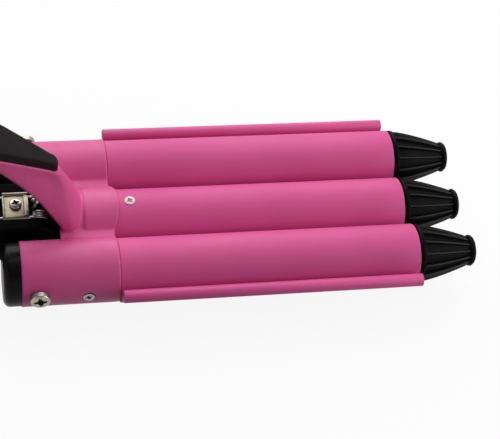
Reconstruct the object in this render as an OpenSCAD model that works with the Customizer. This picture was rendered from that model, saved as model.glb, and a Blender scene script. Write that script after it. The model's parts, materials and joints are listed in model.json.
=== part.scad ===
// Triple-barrel hair waver, in millimetres.
// X runs along the barrels towards the tips, Y across the jaw, Z up.
// The origin is on the surface the tool lies on, below the middle of its length.
// Inside the modules all places are counted from the hinge axis, which at_hinge() sets.

/* [Barrels] */
// Outside diameter of a barrel
barrel_d = 25; // [24.6:0.1:25.2]
// Wall of a barrel tube
barrel_wall = 1; // [0.8:0.1:1.2]
// Distance between neighbouring barrel axes
barrel_pitch = 25.8; // [25.7:0.1:26.2]
// Length of an outer barrel that shows ahead of its sleeve
barrel_len = 124.6; // [100:1:150]
// Height of the hinge axis above the outer barrels' axes
barrel_drop = 2.4; // [2:0.1:2.8]
// How far the middle barrel's axis lies below the outer ones
mid_drop = 1; // [0.8:0.1:1.2]
// How far the middle barrel ends short of the outer ones
mid_setback = 0.8; // [0:0.1:1.5]

/* [Cool tips] */
// Length of a tip ahead of its barrel
tip_len = 26.9; // [24:0.5:32]
// Radius of the collar next to the barrel
tip_collar_r = 12.45; // [12:0.05:12.5]
// Radius of the lip at the end
tip_lip_r = 6.6; // [6:0.1:7.5]
// Ribs round a tip
tip_ribs = 14; // [8:1:18]

/* [Clamping plate] */
// Gap between an outer barrel and its trough with the jaw closed on nothing
hair_gap = 0.35; // [0.35:0.05:0.5]
// Thickness of the plate in the troughs
plate_t = 1; // [0.9:0.1:1.2]
// Thickness of the seat under the middle barrel
seat_t = 2.2; // [1.6:0.1:2.6]
// From an outer barrel's axis out to the bead's centre
bead_reach = 16.2; // [16:0.05:16.5]
// Radius of the bead along each long edge
bead_r = 2.64; // [2.2:0.05:3]
// Height of the bead's centre above the outer barrels' axes
bead_rise = 3.7; // [3:0.1:4.5]
// Half width of the insulating spine under the plate
spine_hw = 9.4; // [7:0.1:9.5]
// Height of the hinge axis above the surface the tool lies on
hinge_height = 21.4; // [20.8:0.1:22]

/* [Moving jaw] */
// Radius of the sleeves that hold the outer barrels
sleeve_r = 13.15; // [12.9:0.05:13.3]
// From the hinge axis forward to the sleeves' front rims
sleeve_front = 32; // [30:0.5:36]
// From the hinge axis back to the sleeves' rear rims
sleeve_back = 7; // [6.5:0.5:8]
// Radius of the lobe that arches over the middle barrel's root
lobe_r = 14; // [13.8:0.05:14.2]
// How far the lobe's rim stands ahead of the sleeves' rims
lobe_reach = 2.7; // [2:0.1:2.8]
// From the hinge axis forward to the rear edge of the lobe
bridge_back = 10; // [9.5:0.5:12]
// Length of the black end caps behind the sleeves
cap_len = 7; // [5:0.5:7.5]
// How far the jaw opens, in degrees
jaw_open = 22; // [10:1:22]

/* [Lever] */
// Rise of the lever's straight front stretch, in degrees
lever_slope = 33.5; // [30:0.5:36]
// Radius of the bend from the slope to the level rear stretch
lever_bend_r = 52; // [48:1:56]
// Half width of the lever at its front end
lever_front_hw = 2.8; // [2.4:0.1:3.2]
// Half width of the lever where the thumb presses
lever_hw = 11.5; // [10:0.1:12]
// From the hinge axis back to the lever's end
lever_back = 75.5; // [65:0.5:78]
// Thickness of the moulded lever
lever_t = 3.4; // [2.8:0.1:4]
// Thickness of the thumb pad on it
pad_t = 4.4; // [3:0.1:5]

/* [Handle] */
// Largest radius of the handle
handle_r = 17.4; // [17:0.1:17.9]
// Wall of the handle shells
shell_wall = 2.3; // [2:0.1:2.6]
// From the hinge axis back to the handle's front face
handle_front = 24; // [23.5:0.5:26]
// From the hinge axis back to the handle's rear face
handle_back = 166; // [160:1:180]
// Length of the cord swivel behind the handle
swivel_len = 14; // [10:1:18]
// Radius of the cord's hole through the swivel
cord_hole_r = 3.3; // [2.5:0.1:3.6]

/* [Buttons] */
// Radius of the power button
power_r = 4; // [3.5:0.1:4.2]
// Length of the plus and minus buttons
key_len = 9; // [8:0.1:9.5]
// Width of the plus and minus buttons
key_w = 6.4; // [5.5:0.1:6.6]
// Travel of a button
key_travel = 0.8; // [0.5:0.1:0.9]

/* [Hidden] */
$fn = 96;
eps = 0.02;
slip = 0.05;

barrel_r = barrel_d / 2;
bore_r = barrel_r - barrel_wall;
plug_r = bore_r - slip;
out_z = -barrel_drop;
mid_z = out_z - mid_drop;
floor_z = -hinge_height;
barrel_end = sleeve_front + barrel_len;
lobe_front = sleeve_front + lobe_reach;
mid_end = barrel_end - mid_setback;
trough_r = barrel_r + hair_gap;
seat_r = barrel_r + slip;
bead_y = barrel_pitch + bead_reach;
bead_z = out_z + bead_rise;
front_x = barrel_end + tip_len;
rear_x = -handle_back - swivel_len;
origin_x = -(front_x + rear_x) / 2;

// Tip: where its parts lie, counted from the barrel's rim
collar_start = 0.5;
collar_len = 2.1;
lip_len = 3.4;
tip_plug = 13;
rib_t = 1.25;
flute_depth = 1.5;

// Carriers, heaters and their screws
carrier_back = 8.5;
carrier_front = 62;
stub_r = 10.4;
stub_back = 14;
heater_start = 66;
heater_len = 74;
lead_hole_r = 5.4;
side_screw_x = 19.3;
side_screw_r = 1.2;
crest_screw_x = 39.2;

// Neck: the fixed black piece between and behind the sleeves
neck_hw = 12.1;
neck_wide_hw = 16.5;
neck_top = 8.8;
shoulder_r = 17.3;
neck_floor = 6.5;
neck_low = -11.5;
neck_front_low = -17.2;
neck_front = 31;
mid_start = neck_front + 0.4;
neck_clear_r = 11.9;
tongue_back = 12;
tenon_r = 14.8;
tenon_back = 40;
pivot_r = 2;
boss_r = 4.4;
insert_r = 3.2;
insert_in = 6.1;
pivot_head_y = 39.25;
pivot_head_r = 4;
pivot_head_h = 2.6;

// Spring: two coils on studs, rear legs under the bracket, a loop that lifts the lever
wire_r = 0.65;
coil_r = 4.7;
coil_x = 1.8;
coil_z = 2.9;
coil_out = 5.2;
coil_in = 1.25;
coil_turn = 1020;
coil_step = 20;
leg_back = 21;
loop_leg = 7.5;

// Bracket over the spring's legs
bracket_x0 = -12.3;
bracket_x1 = -1.8;
bracket_hw = 6.8;
bracket_t = 0.8;
bracket_z = 8.5;
bracket_screw_x = -7.1;

// Lever: the line along its top, a straight slope, a bend and a level stretch
lever_tip = [9, 31.3];
lever_bend = [-12, lever_tip[1] + 21 * tan(lever_slope)];
bend_c = [lever_bend[0] - lever_bend_r * sin(lever_slope), lever_bend[1] - lever_bend_r * cos(lever_slope)];
lever_fall = 3;
lever_wide_x = -27;
lever_steps = 16;

// Handle: radius along its length, as [distance behind the hinge axis, share of handle_r]
handle_line = [[handle_front, 0.925], [handle_front + 2.5, 0.955], [45, 0.97], [80, 0.985], [115, 1],
               [140, 0.975], [155, 0.92], [handle_back - 3, 0.82], [handle_back, 0.7]];
handle_z = handle_r - hinge_height;
cavity_back = handle_back - 7;
post_x = [-48, -147];
post_y = 9;
post_r = 3.2;
post_screw_r = 1.5;
scoop_r = 260;
scoop_x = -121;
scoop_z = handle_z + handle_r - 1.2;
board_z = 3.4;
board_t = 1.6;
board_hw = 11.2;
power_x = -139;
minus_x = -126;
plus_x = -114.5;
window_x = -101;
window_len = 13;
window_w = 8.6;
key_top = scoop_z + 1.3;
key_bottom = key_top - 5.4;
key_gap = 0.25;
key_flange = 1;
swivel_r = 7.5;
swivel_slip = 0.08;

pink = "hotpink";
black = "dimgray";
metal = "silver";

// Everything is placed from the hinge axis
module at_hinge() {
    translate([origin_x, 0, hinge_height]) children();
}

// A cylinder along X, from x0 to x1
module xcyl(r, x0, x1, y = 0, z = 0) {
    translate([x0, y, z]) rotate([0, 90, 0]) cylinder(r = r, h = x1 - x0);
}

// A cylinder along Y, from y0 to y1
module ycyl(r, y0, y1, x = 0, z = 0) {
    translate([x, y1, z]) rotate([90, 0, 0]) cylinder(r = r, h = y1 - y0);
}

// A cylinder along Z, from z0 to z1
module zcyl(r, z0, z1, x = 0, y = 0) {
    translate([x, y, z0]) cylinder(r = r, h = z1 - z0);
}

// A block from one corner to the other
module block(x0, x1, y0, y1, z0, z1) {
    translate([x0, y0, z0]) cube([x1 - x0, y1 - y0, z1 - z0]);
}

// A section drawn in Y and Z, drawn out along X
module along_x(x0, x1) {
    translate([x0, 0, 0]) rotate([90, 0, 90]) linear_extrude(x1 - x0) children();
}

// A profile drawn in X and Z, drawn out along Y to both sides
module along_y(hw) {
    translate([0, hw, 0]) rotate([90, 0, 0]) linear_extrude(2 * hw) children();
}

// A solid of revolution about X, from points [x, radius]
module turned_x(points) {
    rotate([0, 90, 0]) rotate_extrude() polygon([for (p = points) [p[1], p[0]]]);
}

// Both sides of the tool
module both_sides() {
    children();
    mirror([0, 1, 0]) children();
}

// A cross recess for a driver, cut downwards from z = 0
module cross_recess(reach, depth) {
    for (a = [0, 90]) rotate([0, 0, a]) translate([-reach, -reach / 5, -depth]) cube([2 * reach, reach / 2.5, 2 * depth]);
}

// A pan head screw pointing down, its seat at z = 0
module pan_screw(head_r, head_h, shank_r, len) {
    difference() {
        union() {
            rotate_extrude() polygon([[0, 0], [head_r, 0], [head_r, head_h * 0.45], [head_r * 0.88, head_h * 0.8],
                                      [head_r * 0.6, head_h], [0, head_h]]);
            zcyl(shank_r, -len, 0.1);
        }
        translate([0, 0, head_h]) cross_recess(head_r * 0.55, head_h * 0.6);
    }
}

// A countersunk screw pointing down, its flat head's face at z = 0
module flat_screw(head_r, shank_r, len) {
    difference() {
        union() {
            rotate_extrude() polygon([[0, 0], [head_r, 0], [shank_r, shank_r - head_r], [0, shank_r - head_r]]);
            zcyl(shank_r, -len, -eps);
        }
        cross_recess(head_r * 0.6, head_r * 0.4);
    }
}

// The hole that a countersunk screw needs
module flat_hole(head_r, hole_r, len) {
    rotate_extrude() polygon([[0, 1], [head_r + slip, 1], [head_r + slip, 0], [hole_r, hole_r - head_r - slip],
                              [hole_r, -len], [0, -len]]);
}

// ---- fixed jaw -------------------------------------------------------------

// An edge's outline, counted from the trough's side at the barrel's axis
edge_line = [[-0.4, -1], [0.7, -1], [2.15, 1.6], [3.2, bead_rise], [-0.4, bead_rise]];
// The room beside a barrel above its axis, counted from the axis
lift_line = [[0, -0.5], [trough_r - 0.05, -0.5], [trough_r + 0.35, bead_rise], [trough_r + 0.35, 12], [0, 12]];
// How far a trough's outside circle is shifted in, so that its wall is thinner there
trough_thin = 0.2;

// An outline on one side of the plate, always turned the same way round
module side_outline(line, side, out) {
    polygon([for (i = [0:len(line) - 1]) let (p = line[side > 0 ? i : len(line) - 1 - i])
        [side * (out + p[0]), out_z + p[1]]]);
}

// The W-shaped section: two troughs, the seat of the middle barrel between them
module wave_section() {
    difference() {
        union() {
            for (s = [-1, 1]) translate([s * (barrel_pitch - trough_thin), out_z]) circle(trough_r + plate_t);
            translate([0, mid_z]) circle(seat_r + seat_t);
            // the long edges turn out to their beads
            for (s = [-1, 1]) side_outline(edge_line, s, barrel_pitch + trough_r);
        }
        for (s = [-1, 1]) translate([s * barrel_pitch, out_z]) circle(trough_r);
        translate([0, mid_z]) circle(seat_r);
        translate([-barrel_pitch, mid_z - 4]) square([2 * barrel_pitch, 40]);
        // from just below its axis an outer barrel has straight walls beside it, so that it lifts out
        for (s = [-1, 1]) side_outline(lift_line, s, barrel_pitch);
        translate([-70, bead_z]) square([140, 40]);
    }
    for (s = [-1, 1]) translate([s * bead_y, bead_z]) circle(bead_r, $fn = 48);
}

module wave_plate() {
    at_hinge() color(pink) difference() {
        along_x(sleeve_front + 0.6, barrel_end - 0.2) wave_section();
        for (x = spine_screw_x) zcyl(1.6, floor_z, mid_z, x);
    }
}

// Screws through the spine: into the neck, into the middle carrier, into the middle tip
spine_screw_x = [22, 52, mid_end - 7];
spine_screw_top = [-7, mid_z - 6, mid_z - 6];

module jaw_spine() {
    at_hinge() color(black) difference() {
        union() {
            intersection() {
                along_x(neck_front + 0.2, mid_end - 1) difference() {
                    union() {
                        translate([-spine_hw, floor_z + 2]) square([2 * spine_hw, 14]);
                        translate([2 - spine_hw, floor_z]) square([2 * spine_hw - 4, 3]);
                        for (s = [-1, 1]) translate([s * (spine_hw - 2), floor_z + 2]) circle(2);
                    }
                    translate([0, mid_z]) circle(seat_r + seat_t + slip);
                    translate([-20, mid_z - 11.2]) square([40, 20]);
                }
                // the front end slopes up
                along_y(20) polygon([[0, -30], [mid_end - 7, -30], [mid_end + 3, -12], [mid_end + 3, 0], [0, 0]]);
            }
            block(tongue_back, neck_front + 0.3, 2 - spine_hw, spine_hw - 2, floor_z, neck_front_low - slip);
        }
        for (x = spine_screw_x) {
            zcyl(1.6, floor_z - 1, 0, x);
            zcyl(3, floor_z - 1, floor_z + 1.4, x);
        }
    }
}

module spine_screws() {
    at_hinge() color(metal) for (i = [0:2]) {
        translate([spine_screw_x[i], 0, floor_z + 1.4]) rotate([180, 0, 0])
            pan_screw(2.7, 1.2, 1.5 - eps, spine_screw_top[i] - floor_z - 1.4);
    }
}

module middle_barrel() {
    at_hinge() color(pink) difference() {
        xcyl(barrel_r, mid_start, mid_end, 0, mid_z);
        xcyl(bore_r, mid_start - 1, mid_end + 1, 0, mid_z);
        translate([crest_screw_x, 0, mid_z + barrel_r]) flat_hole(2.1, side_screw_r, 6);
        for (i = [1, 2]) zcyl(1.6, mid_z - 20, mid_z, spine_screw_x[i]);
    }
}

module middle_barrel_screw() {
    at_hinge() color(metal) translate([crest_screw_x, 0, mid_z + barrel_r + 0.2])
        flat_screw(2.1, side_screw_r - eps, 7);
}

// The insulating plug that holds the middle barrel's root in the neck
module middle_carrier() {
    at_hinge() color("beige") difference() {
        union() {
            xcyl(stub_r, stub_back, mid_start, 0, mid_z);
            xcyl(plug_r, neck_front + 0.2, carrier_front, 0, mid_z);
        }
        xcyl(lead_hole_r, stub_back - 1, carrier_front + 1, 0, mid_z);
        translate([crest_screw_x, 0, mid_z + barrel_r]) flat_hole(2.1, side_screw_r, 8);
        zcyl(1.5, mid_z - 20, mid_z, spine_screw_x[1]);
        zcyl(1.6, mid_z - 20, mid_z, spine_screw_x[0]);
    }
}

// Two half-round shoes on a flat heating strip
module heater_section() {
    difference() {
        circle(plug_r);
        for (s = [-1, 1]) translate([s * 11 - 4, -1.6]) square([8, 3.2]);
    }
}

module middle_heater() {
    at_hinge() color("lightgray") translate([0, 0, mid_z]) along_x(heater_start, heater_start + heater_len - 2)
        heater_section();
}

// ---- cool tip, with the barrel's rim at x = 0 ------------------------------

cone_start = collar_start + collar_len;
cone_end = tip_len - lip_len;

// Outer radius of the ribs at a place along the cone
function rib_r(x) = tip_collar_r - 0.35 - (tip_collar_r - 0.35 - (tip_lip_r - 0.25))
                    * pow((x - cone_start) / (cone_end - cone_start), 1.15);

module tip_shape() {
    turned_x([[-tip_plug, 0], [-tip_plug, plug_r - 1], [1 - tip_plug, plug_r], [0, plug_r], [0, plug_r - 1],
              [collar_start, plug_r - 1], [collar_start, tip_collar_r - 0.4], [collar_start + 0.4, tip_collar_r],
              [cone_start - 0.3, tip_collar_r], [cone_start, rib_r(cone_start) - flute_depth],
              [cone_end, tip_lip_r - 1.2], [cone_end + 0.7, tip_lip_r - 0.2], [cone_end + 1.4, tip_lip_r],
              [tip_len - 1.6, tip_lip_r], [tip_len - 0.6, tip_lip_r - 0.8], [tip_len, tip_lip_r - 2.4],
              [tip_len, 0]]);
    for (i = [0:tip_ribs - 1]) rotate([(i + 0.5) * 360 / tip_ribs, 0, 0]) along_y(rib_t / 2)
        polygon(concat([[cone_start - 0.2, 4], [cone_end + 0.5, 4]],
                       [for (k = [8:-1:0]) let (x = cone_start + (cone_end - cone_start) * k / 8) [x, rib_r(x)]],
                       [[cone_start - 0.2, rib_r(cone_start)]]));
}

module middle_tip() {
    at_hinge() color(black) difference() {
        translate([mid_end, 0, mid_z]) tip_shape();
        zcyl(1.5, mid_z - 20, mid_z - 6 + slip, spine_screw_x[2]);
    }
}

module left_tip() {
    at_hinge() color(black) translate([barrel_end, barrel_pitch, out_z]) tip_shape();
}

module right_tip() {
    at_hinge() color(black) translate([barrel_end, -barrel_pitch, out_z]) tip_shape();
}

// ---- outer barrels, on the moving jaw --------------------------------------

module outer_barrel(side) {
    color(pink) difference() {
        xcyl(barrel_r, sleeve_front + 0.3, barrel_end, side * barrel_pitch, out_z);
        xcyl(bore_r, sleeve_front - 1, barrel_end + 1, side * barrel_pitch, out_z);
    }
}

module left_barrel() {
    at_hinge() outer_barrel(1);
}

module right_barrel() {
    at_hinge() outer_barrel(-1);
}

module outer_carrier(side) {
    color("beige") difference() {
        xcyl(plug_r, carrier_back, carrier_front, side * barrel_pitch, out_z);
        xcyl(lead_hole_r, carrier_back - 1, carrier_front + 1, side * barrel_pitch, out_z);
        side_screw_place(side) flat_hole(2.35, side_screw_r, 9);
    }
}

// From the top of a side screw's head, pointing inwards
module side_screw_place(side) {
    translate([side_screw_x, side * (barrel_pitch + sleeve_r), out_z]) rotate([-90 * side, 0, 0]) children();
}

module left_carrier() {
    at_hinge() outer_carrier(1);
}

module right_carrier() {
    at_hinge() outer_carrier(-1);
}

module outer_heater(side) {
    color("lightgray") translate([0, side * barrel_pitch, out_z])
        along_x(heater_start, heater_start + heater_len) heater_section();
}

module left_heater() {
    at_hinge() outer_heater(1);
}

module right_heater() {
    at_hinge() outer_heater(-1);
}

module end_cap(side) {
    color(black) translate([0, side * barrel_pitch, out_z])
        turned_x([[-sleeve_back - cap_len, 0], [-sleeve_back - cap_len, sleeve_r - 2.4],
                  [0.5 - sleeve_back - cap_len, sleeve_r - 1.2], [1.6 - sleeve_back - cap_len, sleeve_r - 0.35],
                  [-sleeve_back - slip, sleeve_r - 0.35], [-sleeve_back - slip, plug_r], [-4.8, plug_r],
                  [-4.8, 0]]);
}

module left_end_cap() {
    at_hinge() end_cap(1);
}

module right_end_cap() {
    at_hinge() end_cap(-1);
}

module barrel_screws() {
    at_hinge() color(metal) for (s = [-1, 1]) side_screw_place(s) flat_screw(2.35, side_screw_r - eps, 8.5);
}

// ---- moving jaw's moulding -------------------------------------------------

// The lobe's front edge bulges forward in plan
lobe_bulge_r = 26.4;

// Height of the web between the middle lobe and the sleeves
web_z = 5;

module lobe_section() {
    difference() {
        union() {
            translate([0, mid_z]) circle(lobe_r);
            translate([-barrel_pitch, mid_z]) square([2 * barrel_pitch, web_z - mid_z]);
        }
        translate([-40, mid_z - 40]) square([80, 40]);
    }
}

// One rod across the arm, for hulls
arm_wall = 2.2;
module rod(x, z, r, hw) {
    translate([x, hw, z]) rotate([90, 0, 0]) cylinder(r = r, h = 2 * hw, $fn = 24);
}

// The arm from the bridge up to the lever, grown or shrunk by g
module arm_shape(g) {
    hull() {
        rod(bridge_back + 0.6 + 4 * g, 1, 0.6, 12 + g);
        rod(bridge_back + 0.6 + 4 * g, 8, 0.6, 12 + g);
        rod(19.4 + g, 1, 1.2, 8.6 + g);
        rod(0.5 + 4 * g, 22.4, 0.7, 10 + g);
        rod(12.2 + g, 22.4, 1.6, 5 + g);
    }
    hull() {
        rod(0.5 + 4 * g, 22.4, 0.7, 10 + g);
        rod(12.2 + g, 22.4, 1.6, 5 + g);
        rod(-13.4 + 4 * g, 43 + g, 0.8, 8 + g);
        rod(7.1 + g, 30.8 + g, 1.4, 2.8 + g / 2);
    }
}

// The lever's top line as points, moved up by up
function lever_line(up) = concat(
    [[lever_tip[0] + up * sin(lever_slope), lever_tip[1] + up * cos(lever_slope)]],
    [for (i = [0:lever_steps]) let (a = lever_slope - (lever_slope + lever_fall) * i / lever_steps)
        [bend_c[0] + (lever_bend_r + up) * sin(a), bend_c[1] + (lever_bend_r + up) * cos(a)]],
    [[-lever_back - 5, bend_c[1] + (lever_bend_r + up) * cos(lever_fall)
        - (lever_back + 5 + bend_c[0]) * tan(lever_fall)]]);

// The lever's outline in plan, shrunk by less
module lever_plan(less = 0) {
    w = lever_hw - less;
    x_round = lever_hw - lever_back;
    x_tip = lever_tip[0] - lever_front_hw + 0.3;
    polygon([[x_tip, lever_front_hw - less], [lever_wide_x, w], [x_round, w],
             [x_round, -w], [lever_wide_x, -w], [x_tip, less - lever_front_hw]]);
    translate([x_tip, 0]) circle(lever_front_hw - less);
    translate([x_round, 0]) circle(w);
}

// The slab between the top line moved to z_low and the one moved to z_high
module lever_slab(low, high, less) {
    intersection() {
        linear_extrude(90) lever_plan(less);
        along_y(20) polygon(concat(lever_line(high), [for (i = [len(lever_line(low)) - 1:-1:0]) lever_line(low)[i]]));
    }
}

pad_screw_x = [-30, -62];

// Height of the lever's top line over a place behind the bend
function lever_z(x) = x > bend_c[0] ? bend_c[1] + sqrt(pow(lever_bend_r, 2) - pow(x - bend_c[0], 2))
                                    : bend_c[1] + lever_bend_r - (bend_c[0] - x) * tan(lever_fall);

module upper_jaw_frame() {
    at_hinge() color(pink) difference() {
        union() {
            difference() {
                union() {
                    both_sides() xcyl(sleeve_r, -sleeve_back, sleeve_front, barrel_pitch, out_z);
                    intersection() {
                        along_x(bridge_back, lobe_front) lobe_section();
                        union() {
                            zcyl(lobe_bulge_r, -40, 40, lobe_front - lobe_bulge_r);
                            block(0, sleeve_front - slip, -barrel_pitch, barrel_pitch, -40, 40);
                        }
                    }
                    arm_shape(0);
                    lever_slab(-lever_t, 0, 0);
                }
                both_sides() xcyl(bore_r, -sleeve_back - 1, sleeve_front + 1, barrel_pitch, out_z);
                // room under the arch for the neck and the middle barrel's root
                along_x(bridge_back - 1.6, lobe_front + 2) union() {
                    translate([0, mid_z]) circle(neck_clear_r + 0.35);
                    translate([-neck_clear_r - 0.35, mid_z - 20]) square([2 * neck_clear_r + 0.7, 20]);
                }
                along_x(neck_front, lobe_front + 2) union() {
                    translate([0, mid_z]) circle(barrel_r + 0.35);
                    translate([-barrel_r - 0.35, mid_z - 20]) square([2 * barrel_r + 0.7, 20]);
                }
                // the arm is hollow and open towards the hinge
                arm_shape(-arm_wall);
            }
            // bosses for the pivot screws, across the inside of the sleeves
            both_sides() intersection() {
                ycyl(boss_r, barrel_pitch - 14, barrel_pitch + 14);
                xcyl(sleeve_r - eps, -6, 6, barrel_pitch, out_z);
            }
        }
        both_sides() ycyl(pivot_r + slip, 0, 60);
        for (s = [-1, 1]) side_screw_place(s) flat_hole(2.35, side_screw_r, 5);
        for (x = pad_screw_x) zcyl(1.1, 30, 80, x);
    }
}

module thumb_pad() {
    at_hinge() color(black) difference() {
        lever_slab(slip, pad_t, 0.3);
        for (x = pad_screw_x) zcyl(1.05, lever_z(x) - 5, lever_z(x) + 2.8, x);
    }
}

module pad_screws() {
    at_hinge() color(metal) for (x = pad_screw_x) translate([x, 0, lever_z(x) - lever_t - 0.5])
        rotate([180, 0, 0]) pan_screw(2, 1.2, 1, 6);
}

// ---- neck and hinge --------------------------------------------------------

module neck_section() {
    translate([3 - neck_wide_hw, neck_low + 5]) square([2 * neck_wide_hw - 6, neck_top - neck_low - 5]);
    translate([-neck_wide_hw, neck_low + 5]) square([2 * neck_wide_hw, neck_top - neck_low - 8]);
    translate([5 - neck_wide_hw, neck_low]) square([2 * neck_wide_hw - 10, 6]);
    for (s = [-1, 1]) translate([s * (neck_wide_hw - 3), neck_top - 3]) circle(3);
    for (s = [-1, 1]) translate([s * (neck_wide_hw - 5), neck_low + 5]) circle(5);
}

module neck_housing() {
    at_hinge() color(black) {
        difference() {
            union() {
                // the wide part, its shoulders hollowed for the turning end caps
                difference() {
                    along_x(slip - handle_front, -12) neck_section();
                    both_sides() ycyl(shoulder_r, neck_hw, 40);
                }
                // the narrow part between the sleeves, rounded about the hinge axis
                block(-18, 0, -neck_hw, neck_hw, neck_low, neck_top);
                ycyl(neck_top, -neck_hw, neck_hw);
                block(-eps, bridge_back - 1, -neck_hw, neck_hw, neck_low, 0);
                // the front part under the arch
                xcyl(neck_clear_r, bridge_back - 1.2, neck_front, 0, mid_z);
                block(bridge_back - 1.2, neck_front, -neck_clear_r, neck_clear_r, neck_front_low, mid_z);
                xcyl(tenon_r, -tenon_back, slip - handle_front, 0, handle_z);
            }
            // channel for the spring's legs and the well for its coils
            block(-handle_front - 20, bridge_back + 6, -7, 7, neck_floor, 30);
            block(coil_x - coil_r - 1.4, coil_x + coil_r + 1.6, -6, 6, -3.4, 30);
            // sockets and holes
            xcyl(stub_r + slip, stub_back - 0.5, neck_front + 1, 0, mid_z);
            xcyl(3, -tenon_back - 1, stub_back, 0, -7.2);
            both_sides() ycyl(insert_r, insert_in, 30);
            zcyl(1.25, -2, neck_floor + 4, bracket_screw_x);
            zcyl(1.5, neck_front_low - 1, mid_z - 2, spine_screw_x[0]);
        }
        // the bracket's boss and the coils' studs
        difference() {
            zcyl(2.6, neck_floor - 0.5, bracket_z - eps, bracket_screw_x);
            zcyl(1.25, -2, bracket_z + 1, bracket_screw_x);
        }
        both_sides() ycyl(3.3, 1.1, 6.05, coil_x, coil_z);
    }
}

module hinge_inserts() {
    at_hinge() color("gold") both_sides() difference() {
        ycyl(insert_r - eps, insert_in + eps, neck_hw - 0.1);
        ycyl(pivot_r, 0, 30);
    }
}

module pivot_screws() {
    at_hinge() color("khaki") both_sides() translate([0, pivot_head_y, 0]) rotate([-90, 0, 0])
        pan_screw(pivot_head_r, pivot_head_h, pivot_r - eps / 2, pivot_head_y - insert_in - 0.4);
}

// The wire's centre line from the end of a rear leg to the crown of the loop
coil_n = coil_turn / coil_step;
coil_end = 90 - coil_turn;
loop_dir = [sin(coil_end), 0, -cos(coil_end)];
function coil_point(a, y) = [coil_x + coil_r * cos(a), y, coil_z + coil_r * sin(a)];
half_wire = concat(
    [[-leg_back, coil_out, coil_z + coil_r]],
    [for (i = [0:coil_n]) coil_point(90 - i * coil_step, coil_out - (coil_out - coil_in) * i / coil_n)],
    [for (b = [0:15:90]) coil_point(coil_end, coil_in * cos(b)) + (loop_leg + coil_in * sin(b)) * loop_dir]);
wire = concat(half_wire, [for (i = [len(half_wire) - 2:-1:0]) [half_wire[i][0], -half_wire[i][1], half_wire[i][2]]]);
wire_last = len(wire) - 1;

// Direction of the wire at a point, and its cross direction carried along
function unit(v) = v / norm(v);
wire_dir = [for (i = [0:wire_last]) unit(wire[min(i + 1, wire_last)] - wire[max(i - 1, 0)])];
wire_side = [for (i = 0, u = [0, 1, 0]; i <= wire_last;
                  i = i + 1, u = unit(u - (u * wire_dir[min(i, wire_last)]) * wire_dir[min(i, wire_last)])) u];
wire_n = 8;

module torsion_spring() {
    at_hinge() color(metal) polyhedron(
        points = [for (i = [0:wire_last], k = [0:wire_n - 1]) wire[i] + wire_r * (cos(k * 360 / wire_n) * wire_side[i]
                  + sin(k * 360 / wire_n) * cross(wire_dir[i], wire_side[i]))],
        faces = concat([[for (k = [0:wire_n - 1]) k]],
                       [for (i = [0:wire_last - 1], k = [0:wire_n - 1]) let (a = i * wire_n + k,
                            b = i * wire_n + (k + 1) % wire_n) [a, a + wire_n, b + wire_n, b]],
                       [[for (k = [wire_n - 1:-1:0]) wire_last * wire_n + k]]));
}

module spring_bracket() {
    at_hinge() color("khaki") difference() {
        along_x(bracket_x0, bracket_x1) difference() {
            union() {
                translate([1.6 - bracket_hw, neck_floor + eps])
                    square([2 * bracket_hw - 3.2, bracket_z + bracket_t - neck_floor - eps]);
                translate([-bracket_hw, neck_floor + eps])
                    square([2 * bracket_hw, bracket_z + bracket_t - 1.6 - neck_floor - eps]);
                for (s = [-1, 1]) translate([s * (bracket_hw - 1.6), bracket_z + bracket_t - 1.6]) circle(1.6);
            }
            translate([bracket_t + 0.8 - bracket_hw, 0]) square([2 * (bracket_hw - bracket_t) - 1.6, bracket_z]);
            translate([bracket_t - bracket_hw, 0]) square([2 * (bracket_hw - bracket_t), bracket_z - 0.2]);
            translate([-bracket_hw - 1, neck_floor + eps - 4]) square([2 * bracket_hw + 2, 4]);
        }
        zcyl(1.3, 0, 20, bracket_screw_x);
    }
}

module bracket_screw() {
    at_hinge() color("khaki") translate([bracket_screw_x, 0, bracket_z + bracket_t])
        pan_screw(2.3, 1.8, 1.25 - eps, 9);
}

// ---- handle ----------------------------------------------------------------

module handle_body(less) {
    translate([0, 0, handle_z]) turned_x(concat([[-handle_front, 0]],
        [for (p = handle_line) [-p[0], p[1] * handle_r - less]], [[-handle_back, 0]]));
}

module handle_cavity() {
    intersection() {
        handle_body(shell_wall);
        block(-cavity_back, -tenon_back + 1, -30, 30, -40, 40);
    }
    xcyl(tenon_r + slip, -tenon_back - 0.3, -handle_front + 1, 0, handle_z);
    // the swivel's seat
    xcyl(swivel_r + swivel_slip, -handle_back - 1, -cavity_back + 1, 0, handle_z);
}

module posts(z0, z1, r) {
    for (x = post_x, s = [-1, 1]) zcyl(r, z0, z1, x, s * post_y);
}

// A button's outline: a round one, or one with round ends
module key_outline(len, w, grow = 0) {
    for (s = [-1, 1]) translate([s * (len - w) / 2, 0]) circle(w / 2 + grow, $fn = 48);
    if (len > w) translate([(w - len) / 2, -w / 2 - grow]) square([len - w, w + 2 * grow]);
}

module key_at(x) {
    translate([x, 0, 0]) children();
}

module handle_upper_shell() {
    at_hinge() color(black) difference() {
        union() {
            difference() {
                handle_body(0);
                handle_cavity();
            }
            intersection() {
                posts(handle_z, 20, post_r);
                handle_body(1);
            }
        }
        block(-200, 0, -40, 40, -60, handle_z + eps);
        posts(-60, handle_z + 9, post_screw_r);
        // a shallow scoop for the controls
        translate([scoop_x, 0, scoop_z + scoop_r]) rotate([90, 0, 0]) cylinder(r = scoop_r, h = 60, center = true, $fn = 360);
        translate([power_x, 0, 0]) linear_extrude(40) key_outline(2 * power_r, 2 * power_r, key_gap);
        for (x = [minus_x, plus_x]) translate([x, 0, 0]) linear_extrude(40) key_outline(key_len, key_w, key_gap);
        block(window_x - window_len / 2, window_x + window_len / 2, -window_w / 2, window_w / 2, 0, 40);
    }
}

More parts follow.
